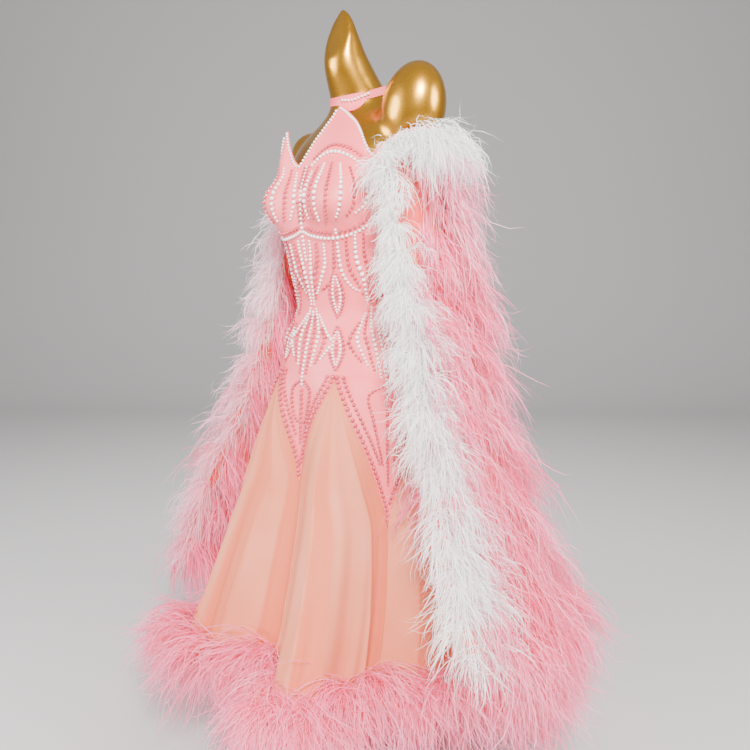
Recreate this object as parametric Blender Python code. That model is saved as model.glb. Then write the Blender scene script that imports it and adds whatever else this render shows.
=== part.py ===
"""Ballroom dance dress with ostrich feather trim, on a limbless gold dress form with a round stand.

Metres, +Z up. The front faces -Y and the wearer's left is +X. The origin is the middle of the
stand's underside. Angles turn round the upright axis: 0 is the front, 90 degrees the wearer's left.
"""

import math
from collections import namedtuple

import bmesh
import bpy
from mathutils import Vector

UP = Vector((0, 0, 1))
FULL_TURN = 2 * math.pi
MM = 0.001

# Cloth and seams
BODICE_WALL = 1.6 * MM
CHIFFON_WALL = 1.2 * MM
FLOAT_WALL = 1.5 * MM
BAND_WALL = 2.0 * MM
COLLAR_WALL = 1.4 * MM
SEAM_GAP = 0.3 * MM
SLANT_GAP = 0.7 * MM
TIP_GAP = 1.2 * MM
TAPE_GAP = 0.45 * MM
BOA_GAP = 0.8 * MM
TAPE_WALL = 3.0 * MM

# Room between the form and the dress
EASE = 3.0 * MM
WAIST_EASE = 0.35 * MM
WAIST_EASE_REACH = 0.07
COLLAR_EASE = 0.8 * MM

# Heights
HEM_Z = 0.200
APEX_Z = 0.755
WAIST_Z = 0.885
CUP_Z = 1.078
FORM_FOOT_Z = 0.660

# Steps over which a surface's slopes are taken
TURN_STEP = 0.002
RISE_STEP = 0.5 * MM
SHARE_STEP = 0.002
BAND_STEP = 0.5
MERGE = 0.01 * MM
SHARP_EDGE = math.radians(50)

# The five tongues of the bodice, and the five chiffon godets between them
GORE_TURN = math.radians(72)
GORE_HALF = GORE_TURN / 2
TONGUE_POWER = 1.3
GORE_COLUMNS = 8
GODET_COLUMNS = 16
UPPER_SHARES = (1.0, 0.88, 0.72, 0.50, 0.25)
BODY_LEVELS = (1.055, 1.010, 0.965, 0.925, 0.885, 0.845, 0.800, APEX_Z)
SKIRT_LEVELS = (APEX_Z, 0.722, 0.683, 0.640, 0.592, 0.545, 0.500, 0.425, 0.345, 0.268, HEM_Z)

# The flare of the skirt
LOBE_FLARE = 0.215
VALLEY_FLARE = 0.088
VALLEY_POWER = 1.5
LOBE_POWER = 0.95

# The bust cups
CUP_DEPTH = 0.040
CUP_ANGLE = math.radians(38)
CUP_SPREAD = math.radians(21)
CUP_RISE = 0.062
CUP_FALL = 0.044

# The pointed wing on the wearer's right cup
WING_ANGLE = math.radians(-34)
WING_SPREAD = math.radians(19)
WING_ROOT_Z = 1.115
WING_FREE_Z = 1.165
WING_LEAN = -0.30

# The form
FORM_SEGMENTS = 40
FORM_CUP_SHARE = 0.84
FORM_FOOT = ((0.62, 0.0), (0.88, 0.006))
FORM_FOOT_CLEAR = 0.01
STUB_TILT = math.radians(17)
Stub = namedtuple("Stub", "side centre radii")
STUBS = [
    Stub(1, Vector((0.149, 0.018, 1.245)), (0.063, 0.056, 0.088)),
    Stub(-1, Vector((0.140, 0.020, 1.186)), (0.052, 0.050, 0.052)),
]
STUB_SEGMENTS = 16
STUB_RINGS = 9

FORM_UPPER_LEVELS = (1.078, 1.11, 1.14, 1.17, 1.19, 1.21, 1.225, 1.238, 1.25, 1.26, 1.27, 1.28,
                     1.29, 1.302, 1.315)

# The stand
BASE_RADIUS = 0.150
BASE_HEIGHT = 0.012
BASE_EDGE = 0.003
BASE_SEGMENTS = 40
POLE_RADIUS = 0.0125
POLE_SEGMENTS = 20

# The collar
COLLAR_SEGMENTS = 40
COLLAR_FRONT_Z = 1.2745
COLLAR_RISE = 0.036
COLLAR_WIDE = 0.009
COLLAR_NARROW = 0.006
COLLAR_WIDE_ANGLE = math.radians(25)
COLLAR_WIDE_SPREAD = math.radians(38)

# Feather tapes and locks. The hem tape is lifted by a share of the lowest row of the godet
TAPE_HEIGHT = 11 * MM
HEM_TAPE_LIFT = 0.04
FLOAT_COLUMNS = 10
FLOAT_ROWS = 10
BAND_COLUMNS = 10
BAND_HALF_HEIGHT = 0.019

Ring = namedtuple("Ring", "z half_width front back shift")
BODY = [
    Ring(0.200, 0.155, 0.115, 0.135, 0.000),
    Ring(0.500, 0.158, 0.115, 0.138, 0.000),
    Ring(0.660, 0.168, 0.124, 0.142, 0.000),
    Ring(0.740, 0.172, 0.126, 0.142, 0.000),
    Ring(0.800, 0.158, 0.114, 0.126, 0.001),
    Ring(0.885, 0.121, 0.092, 0.092, 0.005),
    Ring(0.960, 0.126, 0.098, 0.095, 0.012),
    Ring(1.030, 0.136, 0.103, 0.100, 0.018),
    Ring(1.090, 0.143, 0.103, 0.102, 0.020),
    Ring(1.140, 0.146, 0.095, 0.104, 0.016),
    Ring(1.190, 0.140, 0.081, 0.100, 0.005),
    Ring(1.225, 0.116, 0.069, 0.090, -0.009),
    Ring(1.250, 0.087, 0.063, 0.080, -0.020),
    Ring(1.270, 0.069, 0.063, 0.070, -0.026),
    Ring(1.290, 0.061, 0.064, 0.063, -0.021),
    Ring(1.315, 0.056, 0.064, 0.057, -0.012),
    Ring(1.335, 0.052, 0.059, 0.052, -0.004),
]

# The neck above the last body ring ends in a slanting cut, low in front
NeckRing = namedtuple("NeckRing", "z tilt half_width half_depth shift")
NECK = [
    NeckRing(1.3400, 0.015, 0.0445, 0.0415, 0.011),
    NeckRing(1.3725, 0.0275, 0.0395, 0.0300, 0.025),
    NeckRing(1.3980, 0.0430, 0.0350, 0.0195, 0.035),
    NeckRing(1.4030, 0.0430, 0.0220, 0.0120, 0.036),
]

# The top edge of the bodice: high at the collar on the wearer's left, a point on the right
Edge = namedtuple("Edge", "angle z")
TOP_EDGE = [
    Edge(-180, 1.100),
    Edge(-144, 1.108),
    Edge(-108, 1.118),
    Edge(-75, 1.128),
    Edge(-54, 1.147),
    Edge(-41, 1.187),
    Edge(-34, 1.223),
    Edge(-28, 1.190),
    Edge(-20, 1.160),
    Edge(-14, 1.152),
    Edge(-8, 1.181),
    Edge(-4, 1.212),
    Edge(0, 1.240),
    Edge(5, 1.261),
    Edge(11, 1.2645),
    Edge(20, 1.2600),
    Edge(36, 1.247),
    Edge(50, 1.231),
    Edge(58, 1.211),
    Edge(63, 1.189),
    Edge(69, 1.165),
    Edge(75, 1.145),
    Edge(84, 1.132),
    Edge(108, 1.122),
    Edge(144, 1.108),
    Edge(180, 1.100),
]

# Where the tongue at each angle ends,
# and how far the valley under it drifts by the hem
Tongue = namedtuple("Tongue", "name angle tip_z drift")
TONGUES = [
    Tongue("gore_back_right", -144, 0.500, -4),
    Tongue("gore_right", -72, 0.500, 2),
    Tongue("gore_front", 0, 0.545, 0),
    Tongue("gore_left", 72, 0.482, -12),
    Tongue("gore_back_left", 144, 0.500, 5),
]
DRIFT_POWER = 3
Godet = namedtuple("Godet", "name from_tongue to_tongue flare folds")
Fold = namedtuple("Fold", "across depth width")
GODETS = [
    Godet("godet_side_right", -144, -72, 1.02, [Fold(0.34, 0.018, 0.07), Fold(0.73, 0.022, 0.06)]),
    Godet("godet_front_right", -72, 0, 1.00, [Fold(0.30, 0.018, 0.06), Fold(0.58, 0.022, 0.06),
                                              Fold(0.80, 0.012, 0.06)]),
    Godet("godet_front_left", 0, 72, 1.00, [Fold(0.24, 0.016, 0.07), Fold(0.70, 0.026, 0.06)]),
    Godet("godet_side_left", 72, 144, 1.10, [Fold(0.28, 0.022, 0.06), Fold(0.66, 0.016, 0.07)]),
    Godet("godet_back", 144, 216, 1.04, [Fold(0.22, 0.014, 0.06), Fold(0.50, 0.024, 0.07),
                                         Fold(0.78, 0.016, 0.06)]),
]
FOLD_POWER = 1.2
FOLD_FADE = 0.12

# The sleeve bands, which pass round the outside of the form's shoulder from bodice to bodice
BandPoint = namedtuple("BandPoint", "angle radius z")
BAND = [
    BandPoint(58, 0.0, 1.118),
    BandPoint(62, 0.151, 1.140),
    BandPoint(68, 0.176, 1.162),
    BandPoint(78, 0.199, 1.182),
    BandPoint(92, 0.208, 1.188),
    BandPoint(104, 0.207, 1.178),
    BandPoint(115, 0.192, 1.146),
    BandPoint(123, 0.163, 1.106),
    BandPoint(128, 0.0, 1.080),
]
RIGHT_BAND_TURN = 12
RIGHT_BAND_DROP = 0.058
BAND_END_GAP = 1.1 * MM
REACH_STEPS = 8

# The floats: feathered panels that hang from the sleeve bands
FloatRow = namedtuple("FloatRow", "z front_angle back_angle front_radius back_radius")
LEFT_FLOAT = [
    FloatRow(1.150, 67, 119, 0.188, 0.178),
    FloatRow(1.045, 70, 124, 0.199, 0.198),
    FloatRow(0.965, 72, 129, 0.203, 0.208),
    FloatRow(0.885, 75, 134, 0.208, 0.218),
    FloatRow(0.805, 77, 138, 0.219, 0.232),
    FloatRow(0.725, 78, 142, 0.237, 0.250),
    FloatRow(0.645, 78, 146, 0.259, 0.272),
    FloatRow(0.565, 78, 150, 0.286, 0.298),
    FloatRow(0.485, 77, 153, 0.317, 0.328),
    FloatRow(0.405, 77, 156, 0.354, 0.362),
    FloatRow(0.325, 77, 158, 0.398, 0.400),
]
RIGHT_FLOAT = [
    FloatRow(1.090, 84, 131, 0.188, 0.178),
    FloatRow(1.015, 86, 133, 0.203, 0.195),
    FloatRow(0.945, 85, 135, 0.212, 0.204),
    FloatRow(0.875, 82, 138, 0.226, 0.216),
    FloatRow(0.805, 79, 141, 0.243, 0.232),
    FloatRow(0.725, 76, 144, 0.265, 0.251),
    FloatRow(0.645, 73, 147, 0.290, 0.273),
    FloatRow(0.565, 70, 149, 0.317, 0.298),
    FloatRow(0.485, 67, 151, 0.346, 0.327),
    FloatRow(0.405, 66, 153, 0.378, 0.360),
    FloatRow(0.325, 65, 155, 0.412, 0.398),
]
FLOAT_WAVES = 2
FLOAT_WAVE_DEPTH = 0.016
FLOAT_OUTER_BANDS = (1, 3, 5, 7, 9)
LEFT_INNER_BANDS = (2, 4)
RIGHT_INNER_BANDS = (3, 6)
FLOAT_FIRST_INNER = 2
FLOAT_FIRST_OUTER = 2
BOA_FROM_ROW = 1
BOA_ACROSS = (0.012, 0.085)

# A lock's path from its root, as shares of its reach and its drop, and its section there
Section = namedtuple("Section", "out fall width thick")
HANGING = [Section(0.45, 0.10, 0.86, 0.80), Section(0.88, 0.50, 0.80, 0.70),
           Section(1.00, 1.00, 0.0, 0.0)]
ARCHING = [Section(0.42, -0.24, 0.84, 0.80), Section(0.84, 0.10, 0.78, 0.70),
           Section(1.00, 1.00, 0.0, 0.0)]
CORNERS = [(-1, -1), (1, -1), (1, 1), (-1, 1)]
Lock = namedtuple("Lock", "reach drop thick most_width")
HEM_LOCK = Lock(0.125, 0.155, 0.014, 0.030)
FLOAT_LOCK = Lock(0.078, 0.130, 0.012, 0.040)
INNER_LOCK = Lock(0.018, 0.100, 0.008, 0.034)
CAP_LOCK = Lock(0.070, 0.090, 0.012, 0.026)
BOA_LOCK = Lock(0.078, 0.070, 0.009, 0.030)
BOA_TURNS = (-62, -8)
CAP_FAN = 57
FLOAT_FAN = 8

Finish = namedtuple("Finish", "colour roughness metallic")
FINISHES = {
    "pink_satin": Finish((0.86, 0.36, 0.38), 0.55, 0.0),
    "peach_chiffon": Finish((0.90, 0.56, 0.42), 0.75, 0.0),
    "coral_chiffon": Finish((0.88, 0.34, 0.34), 0.70, 0.0),
    "pink_feather": Finish((0.92, 0.50, 0.60), 0.85, 0.0),
    "white_feather": Finish((0.93, 0.94, 0.92), 0.85, 0.0),
    "gold_form": Finish((0.60, 0.42, 0.10), 0.25, 0.85),
    "stand_metal": Finish((0.62, 0.62, 0.62), 0.30, 0.90),
}


def clear_scene():
    for obj in list(bpy.data.objects):
        bpy.data.objects.remove(obj)


def make_materials():
    made = {}
    for name, finish in FINISHES.items():
        material = bpy.data.materials.new(name)
        material.use_nodes = True
        shader = material.node_tree.nodes["Principled BSDF"]
        shader.inputs["Base Color"].default_value = (*finish.colour, 1)
        shader.inputs["Roughness"].default_value = finish.roughness
        shader.inputs["Metallic"].default_value = finish.metallic
        made[name] = material
    return made


def ease_in_out(share):
    share = min(1.0, max(0.0, share))
    return share * share * (3 - 2 * share)


def slope(rows, i, field):
    """The slope of a field at row i, limited so that the curve never overshoots."""
    if i == 0 or i == len(rows) - 1:
        return 0.0
    before = (rows[i][field] - rows[i - 1][field]) / (rows[i][0] - rows[i - 1][0])
    after = (rows[i + 1][field] - rows[i][field]) / (rows[i + 1][0] - rows[i][0])
    if before * after <= 0:
        return 0.0
    return 2 * before * after / (before + after)


def read_table(rows, at):
    """The row at a value of the first field, on a smooth curve through a table that rises in it."""
    at = min(rows[-1][0], max(rows[0][0], at))
    i = max(k for k in range(len(rows) - 1) if rows[k][0] <= at)
    span = rows[i + 1][0] - rows[i][0]
    t = (at - rows[i][0]) / span
    values = [at]
    for field in range(1, len(rows[0])):
        start, end = rows[i][field], rows[i + 1][field]
        leave, arrive = slope(rows, i, field) * span, slope(rows, i + 1, field) * span
        values.append(
            start * (2 * t**3 - 3 * t**2 + 1)
            + leave * (t**3 - 2 * t**2 + t)
            + end * (3 * t**2 - 2 * t**3)
            + arrive * (t**3 - t**2)
        )
    return type(rows[0])(*values)


def wrapped(angle):
    """The angle from -180 to 180 degrees."""
    return (angle + math.pi) % FULL_TURN - math.pi


def body_radius(angle, z, cup_share=1.0):
    """The plain body under the skirt and bodice, with its bust cups."""
    ring = read_table(BODY, z)
    depth = ring.front if math.cos(angle) > 0 else ring.back
    radius = 1 / math.hypot(math.sin(angle) / ring.half_width, math.cos(angle) / depth)
    aside = (abs(wrapped(angle)) - CUP_ANGLE) / CUP_SPREAD
    above = (z - CUP_Z) / (CUP_RISE if z > CUP_Z else CUP_FALL)
    return radius + cup_share * CUP_DEPTH * math.exp(-(aside**2) - above**2)


def wing_lift(angle, z):
    """How far the pointed wing stands off the chest, which falls away behind it."""
    if z <= WING_ROOT_Z:
        return 0.0
    near = math.exp(-((wrapped(angle - WING_ANGLE) / WING_SPREAD) ** 2))
    free = ease_in_out((z - WING_ROOT_Z) / (WING_FREE_Z - WING_ROOT_Z))
    straight = body_radius(angle, WING_ROOT_Z) + WING_LEAN * (z - WING_ROOT_Z)
    straight += read_table(BODY, WING_ROOT_Z).shift - read_table(BODY, z).shift
    return near * free * max(0.0, straight - body_radius(angle, z))


def downward(z):
    """How far down the skirt a height is, from 0 at the godets' tops to 1 at the hem."""
    return max(0.0, (APEX_Z - z) / (APEX_Z - HEM_Z))


def valley_angle(tongue, z):
    return math.radians(tongue.angle + tongue.drift * downward(z) ** DRIFT_POWER)


def skirt_flare(angle, z):
    """The flare below the godets' tops: deep lobes at the godets, valleys at the tongues."""
    down = downward(z)
    if down == 0:
        return 0.0
    for tongue, after, godet in zip(TONGUES, TONGUES[1:] + TONGUES[:1], GODETS):
        start = valley_angle(tongue, z)
        width = (valley_angle(after, z) - start) % FULL_TURN
        across = ((angle - start) % FULL_TURN) / width
        if across <= 1:
            break
    lobe = 0.5 * (1 - math.cos(FULL_TURN * across))
    valley = VALLEY_FLARE * down**VALLEY_POWER
    return (1 - lobe) * valley + lobe * godet.flare * LOBE_FLARE * down**LOBE_POWER


def at(angle, radius, z, shift=0.0):
    return Vector((radius * math.sin(angle), -shift - radius * math.cos(angle), z))


def dress_point(angle, z):
    radius = body_radius(angle, z) + wing_lift(angle, z) + skirt_flare(angle, z)
    return at(angle, radius, z, read_table(BODY, z).shift)


def outward(surface, angle, z):
    """The outward normal of a surface that is a function of angle and height."""
    along = surface(angle + TURN_STEP, z) - surface(angle - TURN_STEP, z)
    upward = surface(angle, z + RISE_STEP) - surface(angle, z - RISE_STEP)
    return along.cross(upward).normalized()


def top_z(angle):
    return read_table(TOP_EDGE, math.degrees(wrapped(angle))).z


def new_object(name, bm, material, smooth=True):
    bmesh.ops.recalc_face_normals(bm, faces=bm.faces)
    mesh = bpy.data.meshes.new(name)
    bm.to_mesh(mesh)
    bm.free()
    mesh.materials.append(material)
    if smooth:
        mesh.shade_smooth()
        mesh.set_sharp_from_angle(angle=SHARP_EDGE)
    obj = bpy.data.objects.new(name, mesh)
    bpy.context.scene.collection.objects.link(obj)
    return obj


def wall(name, outer, inner, material):
    """A closed wall between two grids of points. Points that coincide become one."""
    rows, columns = len(outer), len(outer[0])
    bm = bmesh.new()
    sides = [[[bm.verts.new(p) for p in row] for row in grid] for grid in (outer, inner)]
    for side in sides:
        for i in range(rows - 1):
            for j in range(columns - 1):
                bm.faces.new((side[i][j], side[i + 1][j], side[i + 1][j + 1], side[i][j + 1]))
    rim = [(0, j) for j in range(columns)]
    rim += [(i, columns - 1) for i in range(1, rows)]
    rim += [(rows - 1, j) for j in range(columns - 2, -1, -1)]
    rim += [(i, 0) for i in range(rows - 2, 0, -1)]
    for (i, j), (k, m) in zip(rim, rim[1:] + rim[:1]):
        bm.faces.new((sides[0][i][j], sides[0][k][m], sides[1][k][m], sides[1][i][j]))
    bmesh.ops.remove_doubles(bm, verts=bm.verts, dist=MERGE)
    return new_object(name, bm, material)


def tongue_half(tongue, z):
    """Half the angle that a gore spans at a height: full above the godets, none at its tip."""
    if z >= APEX_Z:
        return GORE_HALF
    left = max(0.0, 1 - (APEX_Z - z) / (APEX_Z - tongue.tip_z))
    return GORE_HALF * left**TONGUE_POWER


def gore_levels(tongue, angle):
    """The heights down one column of a gore: its top edge and cups, then the common levels."""
    low = BODY_LEVELS[0]
    levels = [low + (top_z(angle) - low) * share for share in UPPER_SHARES]
    levels += BODY_LEVELS
    levels += [z for z in SKIRT_LEVELS if tongue.tip_z < z < APEX_Z]
    return levels + [tongue.tip_z + TIP_GAP]


def make_gore(tongue, material):
    middle = math.radians(tongue.angle)
    outer, inner = [], []
    columns = [2 * j / GORE_COLUMNS - 1 for j in range(GORE_COLUMNS + 1)]
    levels = [gore_levels(tongue, middle + across * GORE_HALF) for across in columns]
    last = len(levels[0]) - 1
    for i in range(last + 1):
        outer.append([])
        inner.append([])
        for across, column in zip(columns, levels):
            z = column[i]
            gap = SEAM_GAP if z > APEX_Z else SLANT_GAP
            half = 0.0
            if i < last:
                half = tongue_half(tongue, z) - gap / 2 / body_radius(middle, z)
            angle = valley_angle(tongue, z) + across * half
            point = dress_point(angle, z)
            outer[i].append(point)
            inner[i].append(point - BODICE_WALL * outward(dress_point, angle, z))
    return wall(tongue.name, outer, inner, material)


def godet_angle(godet, across, z):
    """The angle at a share across a godet, between the edges of the tongues on each side."""
    tongues = {t.angle: t for t in TONGUES}
    start, end = tongues[godet.from_tongue], tongues[wrapped_degrees(godet.to_tongue)]
    gap = (SLANT_GAP if z > start.tip_z else SEAM_GAP) / 2 / body_radius(0, z)
    low = valley_angle(start, z)
    width = (valley_angle(end, z) - low) % FULL_TURN
    low += tongue_half(start, z) + gap
    return low + (width - tongue_half(start, z) - tongue_half(end, z) - 2 * gap) * across


def wrapped_degrees(degrees):
    return degrees - 360 if degrees > 180 else degrees


def fold_depth(godet, across, z):
    fade = ease_in_out(across / FOLD_FADE) * ease_in_out((1 - across) / FOLD_FADE)
    cut = sum(f.depth * math.exp(-(((across - f.across) / f.width) ** 2)) for f in godet.folds)
    return fade * downward(z) ** FOLD_POWER * cut


def godet_point(godet, across, z):
    angle = godet_angle(godet, across, z)
    point = dress_point(angle, z)
    return point - fold_depth(godet, across, z) * at(angle, 1, 0)


def godet_normal(godet, across, z):
    near, far = max(0.0, across - SHARE_STEP), min(1.0, across + SHARE_STEP)
    along = godet_point(godet, far, z) - godet_point(godet, near, z)
    upward = godet_point(godet, across, z + RISE_STEP) - godet_point(godet, across, z - RISE_STEP)
    if along.length < MERGE / 10:
        return outward(dress_point, godet_angle(godet, across, z), z)
    return along.cross(upward).normalized()


def godet_grids(godet):
    """The outer and inner points of a godet, from its point down to the hem."""
    outer, inner = [], []
    for z in SKIRT_LEVELS:
        outer.append([])
        inner.append([])
        for j in range(GODET_COLUMNS + 1):
            across = j / GODET_COLUMNS
            if z == APEX_Z:
                angle = math.radians((godet.from_tongue + godet.to_tongue) / 2)
                point = dress_point(angle, z - TIP_GAP)
                normal = outward(dress_point, angle, z - TIP_GAP)
            else:
                point = godet_point(godet, across, z)
                edge = across in (0, 1)
                normal = (outward(dress_point, godet_angle(godet, across, z), z) if edge
                          else godet_normal(godet, across, z))
            outer[-1].append(point)
            inner[-1].append(point - CHIFFON_WALL * normal)
    return outer, inner


def lock_sections(lock, shape, centre, way, width):
    """The centre, side and thickness vectors of each section of a lock."""
    side = UP.cross(way).normalized()
    found, before = [], centre
    for section in shape:
        middle = centre + way * (section.out * lock.reach) - UP * (section.fall * lock.drop)
        tangent = (middle - before).normalized()
        found.append((middle, side * (section.width * width / 2),
                      tangent.cross(side) * (section.thick * lock.thick / 2)))
        before = middle
    return found


def grow_lock(bm, root, lock, shape, way):
    """Grows one lock from the four corners of its root on a tape."""
    centre = sum((v.co for v in root), Vector()) / 4
    side = UP.cross(way).normalized()
    flat = [((v.co - centre).dot(side), v.co.z - centre.z) for v in root]
    turning = sum(a[0] * b[1] - b[0] * a[1] for a, b in zip(flat, flat[1:] + flat[:1]))
    corners = CORNERS if turning > 0 else CORNERS[::-1]
    orders = [corners[k:] + corners[:k] for k in range(4)]
    signs = max(orders, key=lambda order: sum(f[0] * c[0] + f[1] * c[1]
                                              for f, c in zip(flat, order)))
    spread = sum(abs(f[0]) for f in flat) / 2
    width = min(lock.most_width, spread)
    below = root
    for middle, half_side, half_thick in lock_sections(lock, shape, centre, way, width):
        if half_side.length < MERGE / 10:
            tip = bm.verts.new(middle)
            for i in range(4):
                bm.faces.new((below[i], below[(i + 1) % 4], tip))
            return
        above = [bm.verts.new(middle + half_side * a + half_thick * b) for a, b in signs]
        for i in range(4):
            bm.faces.new((below[i], below[(i + 1) % 4], above[(i + 1) % 4], above[i]))
        below = above


def make_fringe(name, backs, fronts, ways, lock, shape, material):
    """A tape whose every segment grows one lock. backs and fronts hold its two edges' points."""
    bm = bmesh.new()
    back = [[bm.verts.new(p) for p in pair] for pair in backs]
    front = [[bm.verts.new(p) for p in pair] for pair in fronts]
    for i in range(len(back) - 1):
        j = i + 1
        bm.faces.new((back[i][0], back[i][1], back[j][1], back[j][0]))
        bm.faces.new((back[i][0], back[j][0], front[j][0], front[i][0]))
        bm.faces.new((back[i][1], front[i][1], front[j][1], back[j][1]))
        root = [front[i][0], front[j][0], front[j][1], front[i][1]]
        grow_lock(bm, root, lock, shape, ways[i])
    for end in (0, -1):
        bm.faces.new((back[end][0], back[end][1], front[end][1], front[end][0]))
    return new_object(name, bm, material, smooth=False)


def tape_on(points, normals, gap=TAPE_GAP):
    """The back and front edges of a tape laid on pairs of points of a panel."""
    backs = [[p + n * gap for p in pair] for pair, n in zip(points, normals)]
    fronts = [[p + n * (gap + TAPE_WALL) for p in pair] for pair, n in zip(points, normals)]
    return backs, fronts


def between(a, b, share):
    return a + (b - a) * share


def level_way(way):
    return Vector((way.x, way.y, 0)).normalized()


def fan_ways(count, start, end, side):
    """Level directions that turn evenly from one angle in degrees to another."""
    turn = (end - start) / count
    return [at(side * math.radians(start + turn * (i + 0.5)), 1, 0) for i in range(count)]


def make_hem_fringe(godet, outer, material):
    """The feather tape round the hem of one godet."""
    above, below = outer[-2], outer[-1]
    high = HEM_TAPE_LIFT + TAPE_HEIGHT / (below[0] - above[0]).length
    points, normals = [], []
    for j in range(len(below)):
        inset = (0, SEAM_GAP)[j == 0] - (0, SEAM_GAP)[j == len(below) - 1]
        before, after = below[max(0, j - 1)], below[min(len(below) - 1, j + 1)]
        along = (after - before).normalized()
        rise = (above[j] - below[j]).normalized()
        pair = [between(below[j], above[j], share) + along * inset
                for share in (HEM_TAPE_LIFT, high)]
        points.append(pair)
        seam = j in (0, len(below) - 1)
        normals.append(level_way(below[j]) if seam else along.cross(rise).normalized())
    backs, fronts = tape_on(points, normals)
    ends = [math.degrees(godet_angle(godet, across, HEM_Z)) for across in (0, 1)]
    ways = fan_ways(GODET_COLUMNS, *ends, 1)
    name = godet.name.replace("godet", "hem_feathers")
    return make_fringe(name, backs, fronts, ways, HEM_LOCK, ARCHING, material)


def reach(angle, z):
    """How far the dress reaches from the upright axis in a direction."""
    turn = angle
    for _ in range(REACH_STEPS):
        point = dress_point(turn, z)
        turn += angle - math.atan2(point.x, -point.y)
    return point.xy.length


def band_path(side):
    """The middle line of a sleeve band, as points from front to back."""
    rows = []
    turn, drop = (RIGHT_BAND_TURN, RIGHT_BAND_DROP) if side < 0 else (0, 0)
    for row in BAND:
        radius = row.radius
        z = row.z - drop
        if not radius:
            angle = side * math.radians(row.angle + turn)
            lifts = (-BAND_HALF_HEIGHT, 0, BAND_HALF_HEIGHT)
            radius = BAND_END_GAP + max(reach(angle, z + lift) for lift in lifts)
        rows.append(BandPoint(row.angle + turn, radius, z))
    return rows


def band_point(rows, angle_degrees, side):
    row = read_table(rows, angle_degrees)
    return at(side * math.radians(angle_degrees), row.radius, row.z)


def band_normal(rows, angle_degrees, side):
    low = max(rows[0].angle, angle_degrees - BAND_STEP)
    high = min(rows[-1].angle, angle_degrees + BAND_STEP)
    along = band_point(rows, high, side) - band_point(rows, low, side)
    return level_way(along.cross(UP) * side)


def make_band(name, side, material):
    rows = band_path(side)
    turns = [rows[0].angle + (rows[-1].angle - rows[0].angle) * j / BAND_COLUMNS
             for j in range(BAND_COLUMNS + 1)]
    outer, inner = [], []
    for rise in (BAND_HALF_HEIGHT, -BAND_HALF_HEIGHT):
        outer.append([band_point(rows, turn, side) + UP * rise
                      + band_normal(rows, turn, side) * BAND_WALL / 2 for turn in turns])
        inner.append([band_point(rows, turn, side) + UP * rise
                      - band_normal(rows, turn, side) * BAND_WALL / 2 for turn in turns])
    wall(name, outer, inner, material)
    return outer, rows, turns


def make_cap_fringe(name, side, outer, rows, turns, material):
    """White feathers round the outside of a sleeve band, clear of its two ends."""
    high, low = outer
    used = range(1, BAND_COLUMNS)
    share = 0.5 * TAPE_HEIGHT / (2 * BAND_HALF_HEIGHT)
    points = [[between(high[j], low[j], 0.5 + share), between(high[j], low[j], 0.5 - share)]
              for j in used]
    normals = [band_normal(rows, turns[j], side) for j in used]
    backs, fronts = tape_on(points, normals)
    middle = (turns[0] + turns[-1]) / 2
    ways = fan_ways(len(points) - 1, middle - CAP_FAN, middle + CAP_FAN, side)
    make_fringe(name, backs, fronts, ways, CAP_LOCK, HANGING, material)


def along_edge(edge, turns, degrees):
    """The point of a band's edge at an angle."""
    j = max(k for k in range(len(turns) - 1) if turns[k] <= degrees)
    return between(edge[j], edge[j + 1], (degrees - turns[j]) / (turns[j + 1] - turns[j]))


def float_grid(rows, band_edge, turns, side):
    """The outer points of a float, row by row from the sleeve band down, and their normals."""
    grid = []
    for i, row in enumerate(rows):
        line = []
        for j in range(FLOAT_COLUMNS + 1):
            across = j / FLOAT_COLUMNS
            degrees = row.front_angle + (row.back_angle - row.front_angle) * across
            angle = side * math.radians(degrees)
            if i == 0:
                line.append(along_edge(band_edge, turns, degrees) - UP * SEAM_GAP)
                continue
            down = i / FLOAT_ROWS
            wave = FLOAT_WAVE_DEPTH * down * math.cos(FULL_TURN * FLOAT_WAVES * across)
            radius = row.front_radius + (row.back_radius - row.front_radius) * across + wave
            line.append(at(angle, radius, row.z))
        grid.append(line)
    normals = []
    for i, line in enumerate(grid):
        lift = grid[max(0, i - 1)], grid[min(len(grid) - 1, i + 1)]
        normals.append([])
        for j in range(len(line)):
            along = line[min(len(line) - 1, j + 1)] - line[max(0, j - 1)]
            normals[-1].append((along.cross(lift[0][j] - lift[1][j]) * side).normalized())
    return grid, normals


def make_float(name, side, rows, band_edge, turns, material):
    outer, normals = float_grid(rows, band_edge, turns, side)
    inner = [[p - n * FLOAT_WALL for p, n in zip(line, out)] for line, out in zip(outer, normals)]
    wall(name, outer, inner, material)
    return outer, inner


def cell_normal(grid, i, j, side, face):
    along = grid[i][j + 1] - grid[i][j]
    return (along.cross(grid[i][j] - grid[i + 1][j]) * side * face).normalized()


def make_float_row(name, grid, rows, i, first, side, face, lock, material):
    """A tape of locks across one row of a float. face is 1 on its outside and -1 on its inside."""
    last = len(grid[0]) - 1
    turn = (rows[i].back_angle - rows[i].front_angle) / last
    start, end = rows[i].front_angle + first * turn - FLOAT_FAN, rows[i].back_angle + FLOAT_FAN
    points, normals = [], []
    for j in range(first, last + 1):
        depth = TAPE_HEIGHT / (grid[i][j] - grid[i + 1][j]).length
        points.append([between(grid[i][j], grid[i + 1][j], depth), grid[i][j]])
        cells = [cell_normal(grid, i, k, side, face) for k in (j - 1, j) if 0 <= k < last]
        normals.append(sum(cells, Vector()).normalized())
    backs, fronts = tape_on(points, normals)
    ways = [way * face for way in fan_ways(len(points) - 1, start, end, side)]
    make_fringe(name, backs, fronts, ways, lock, HANGING, material)


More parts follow.
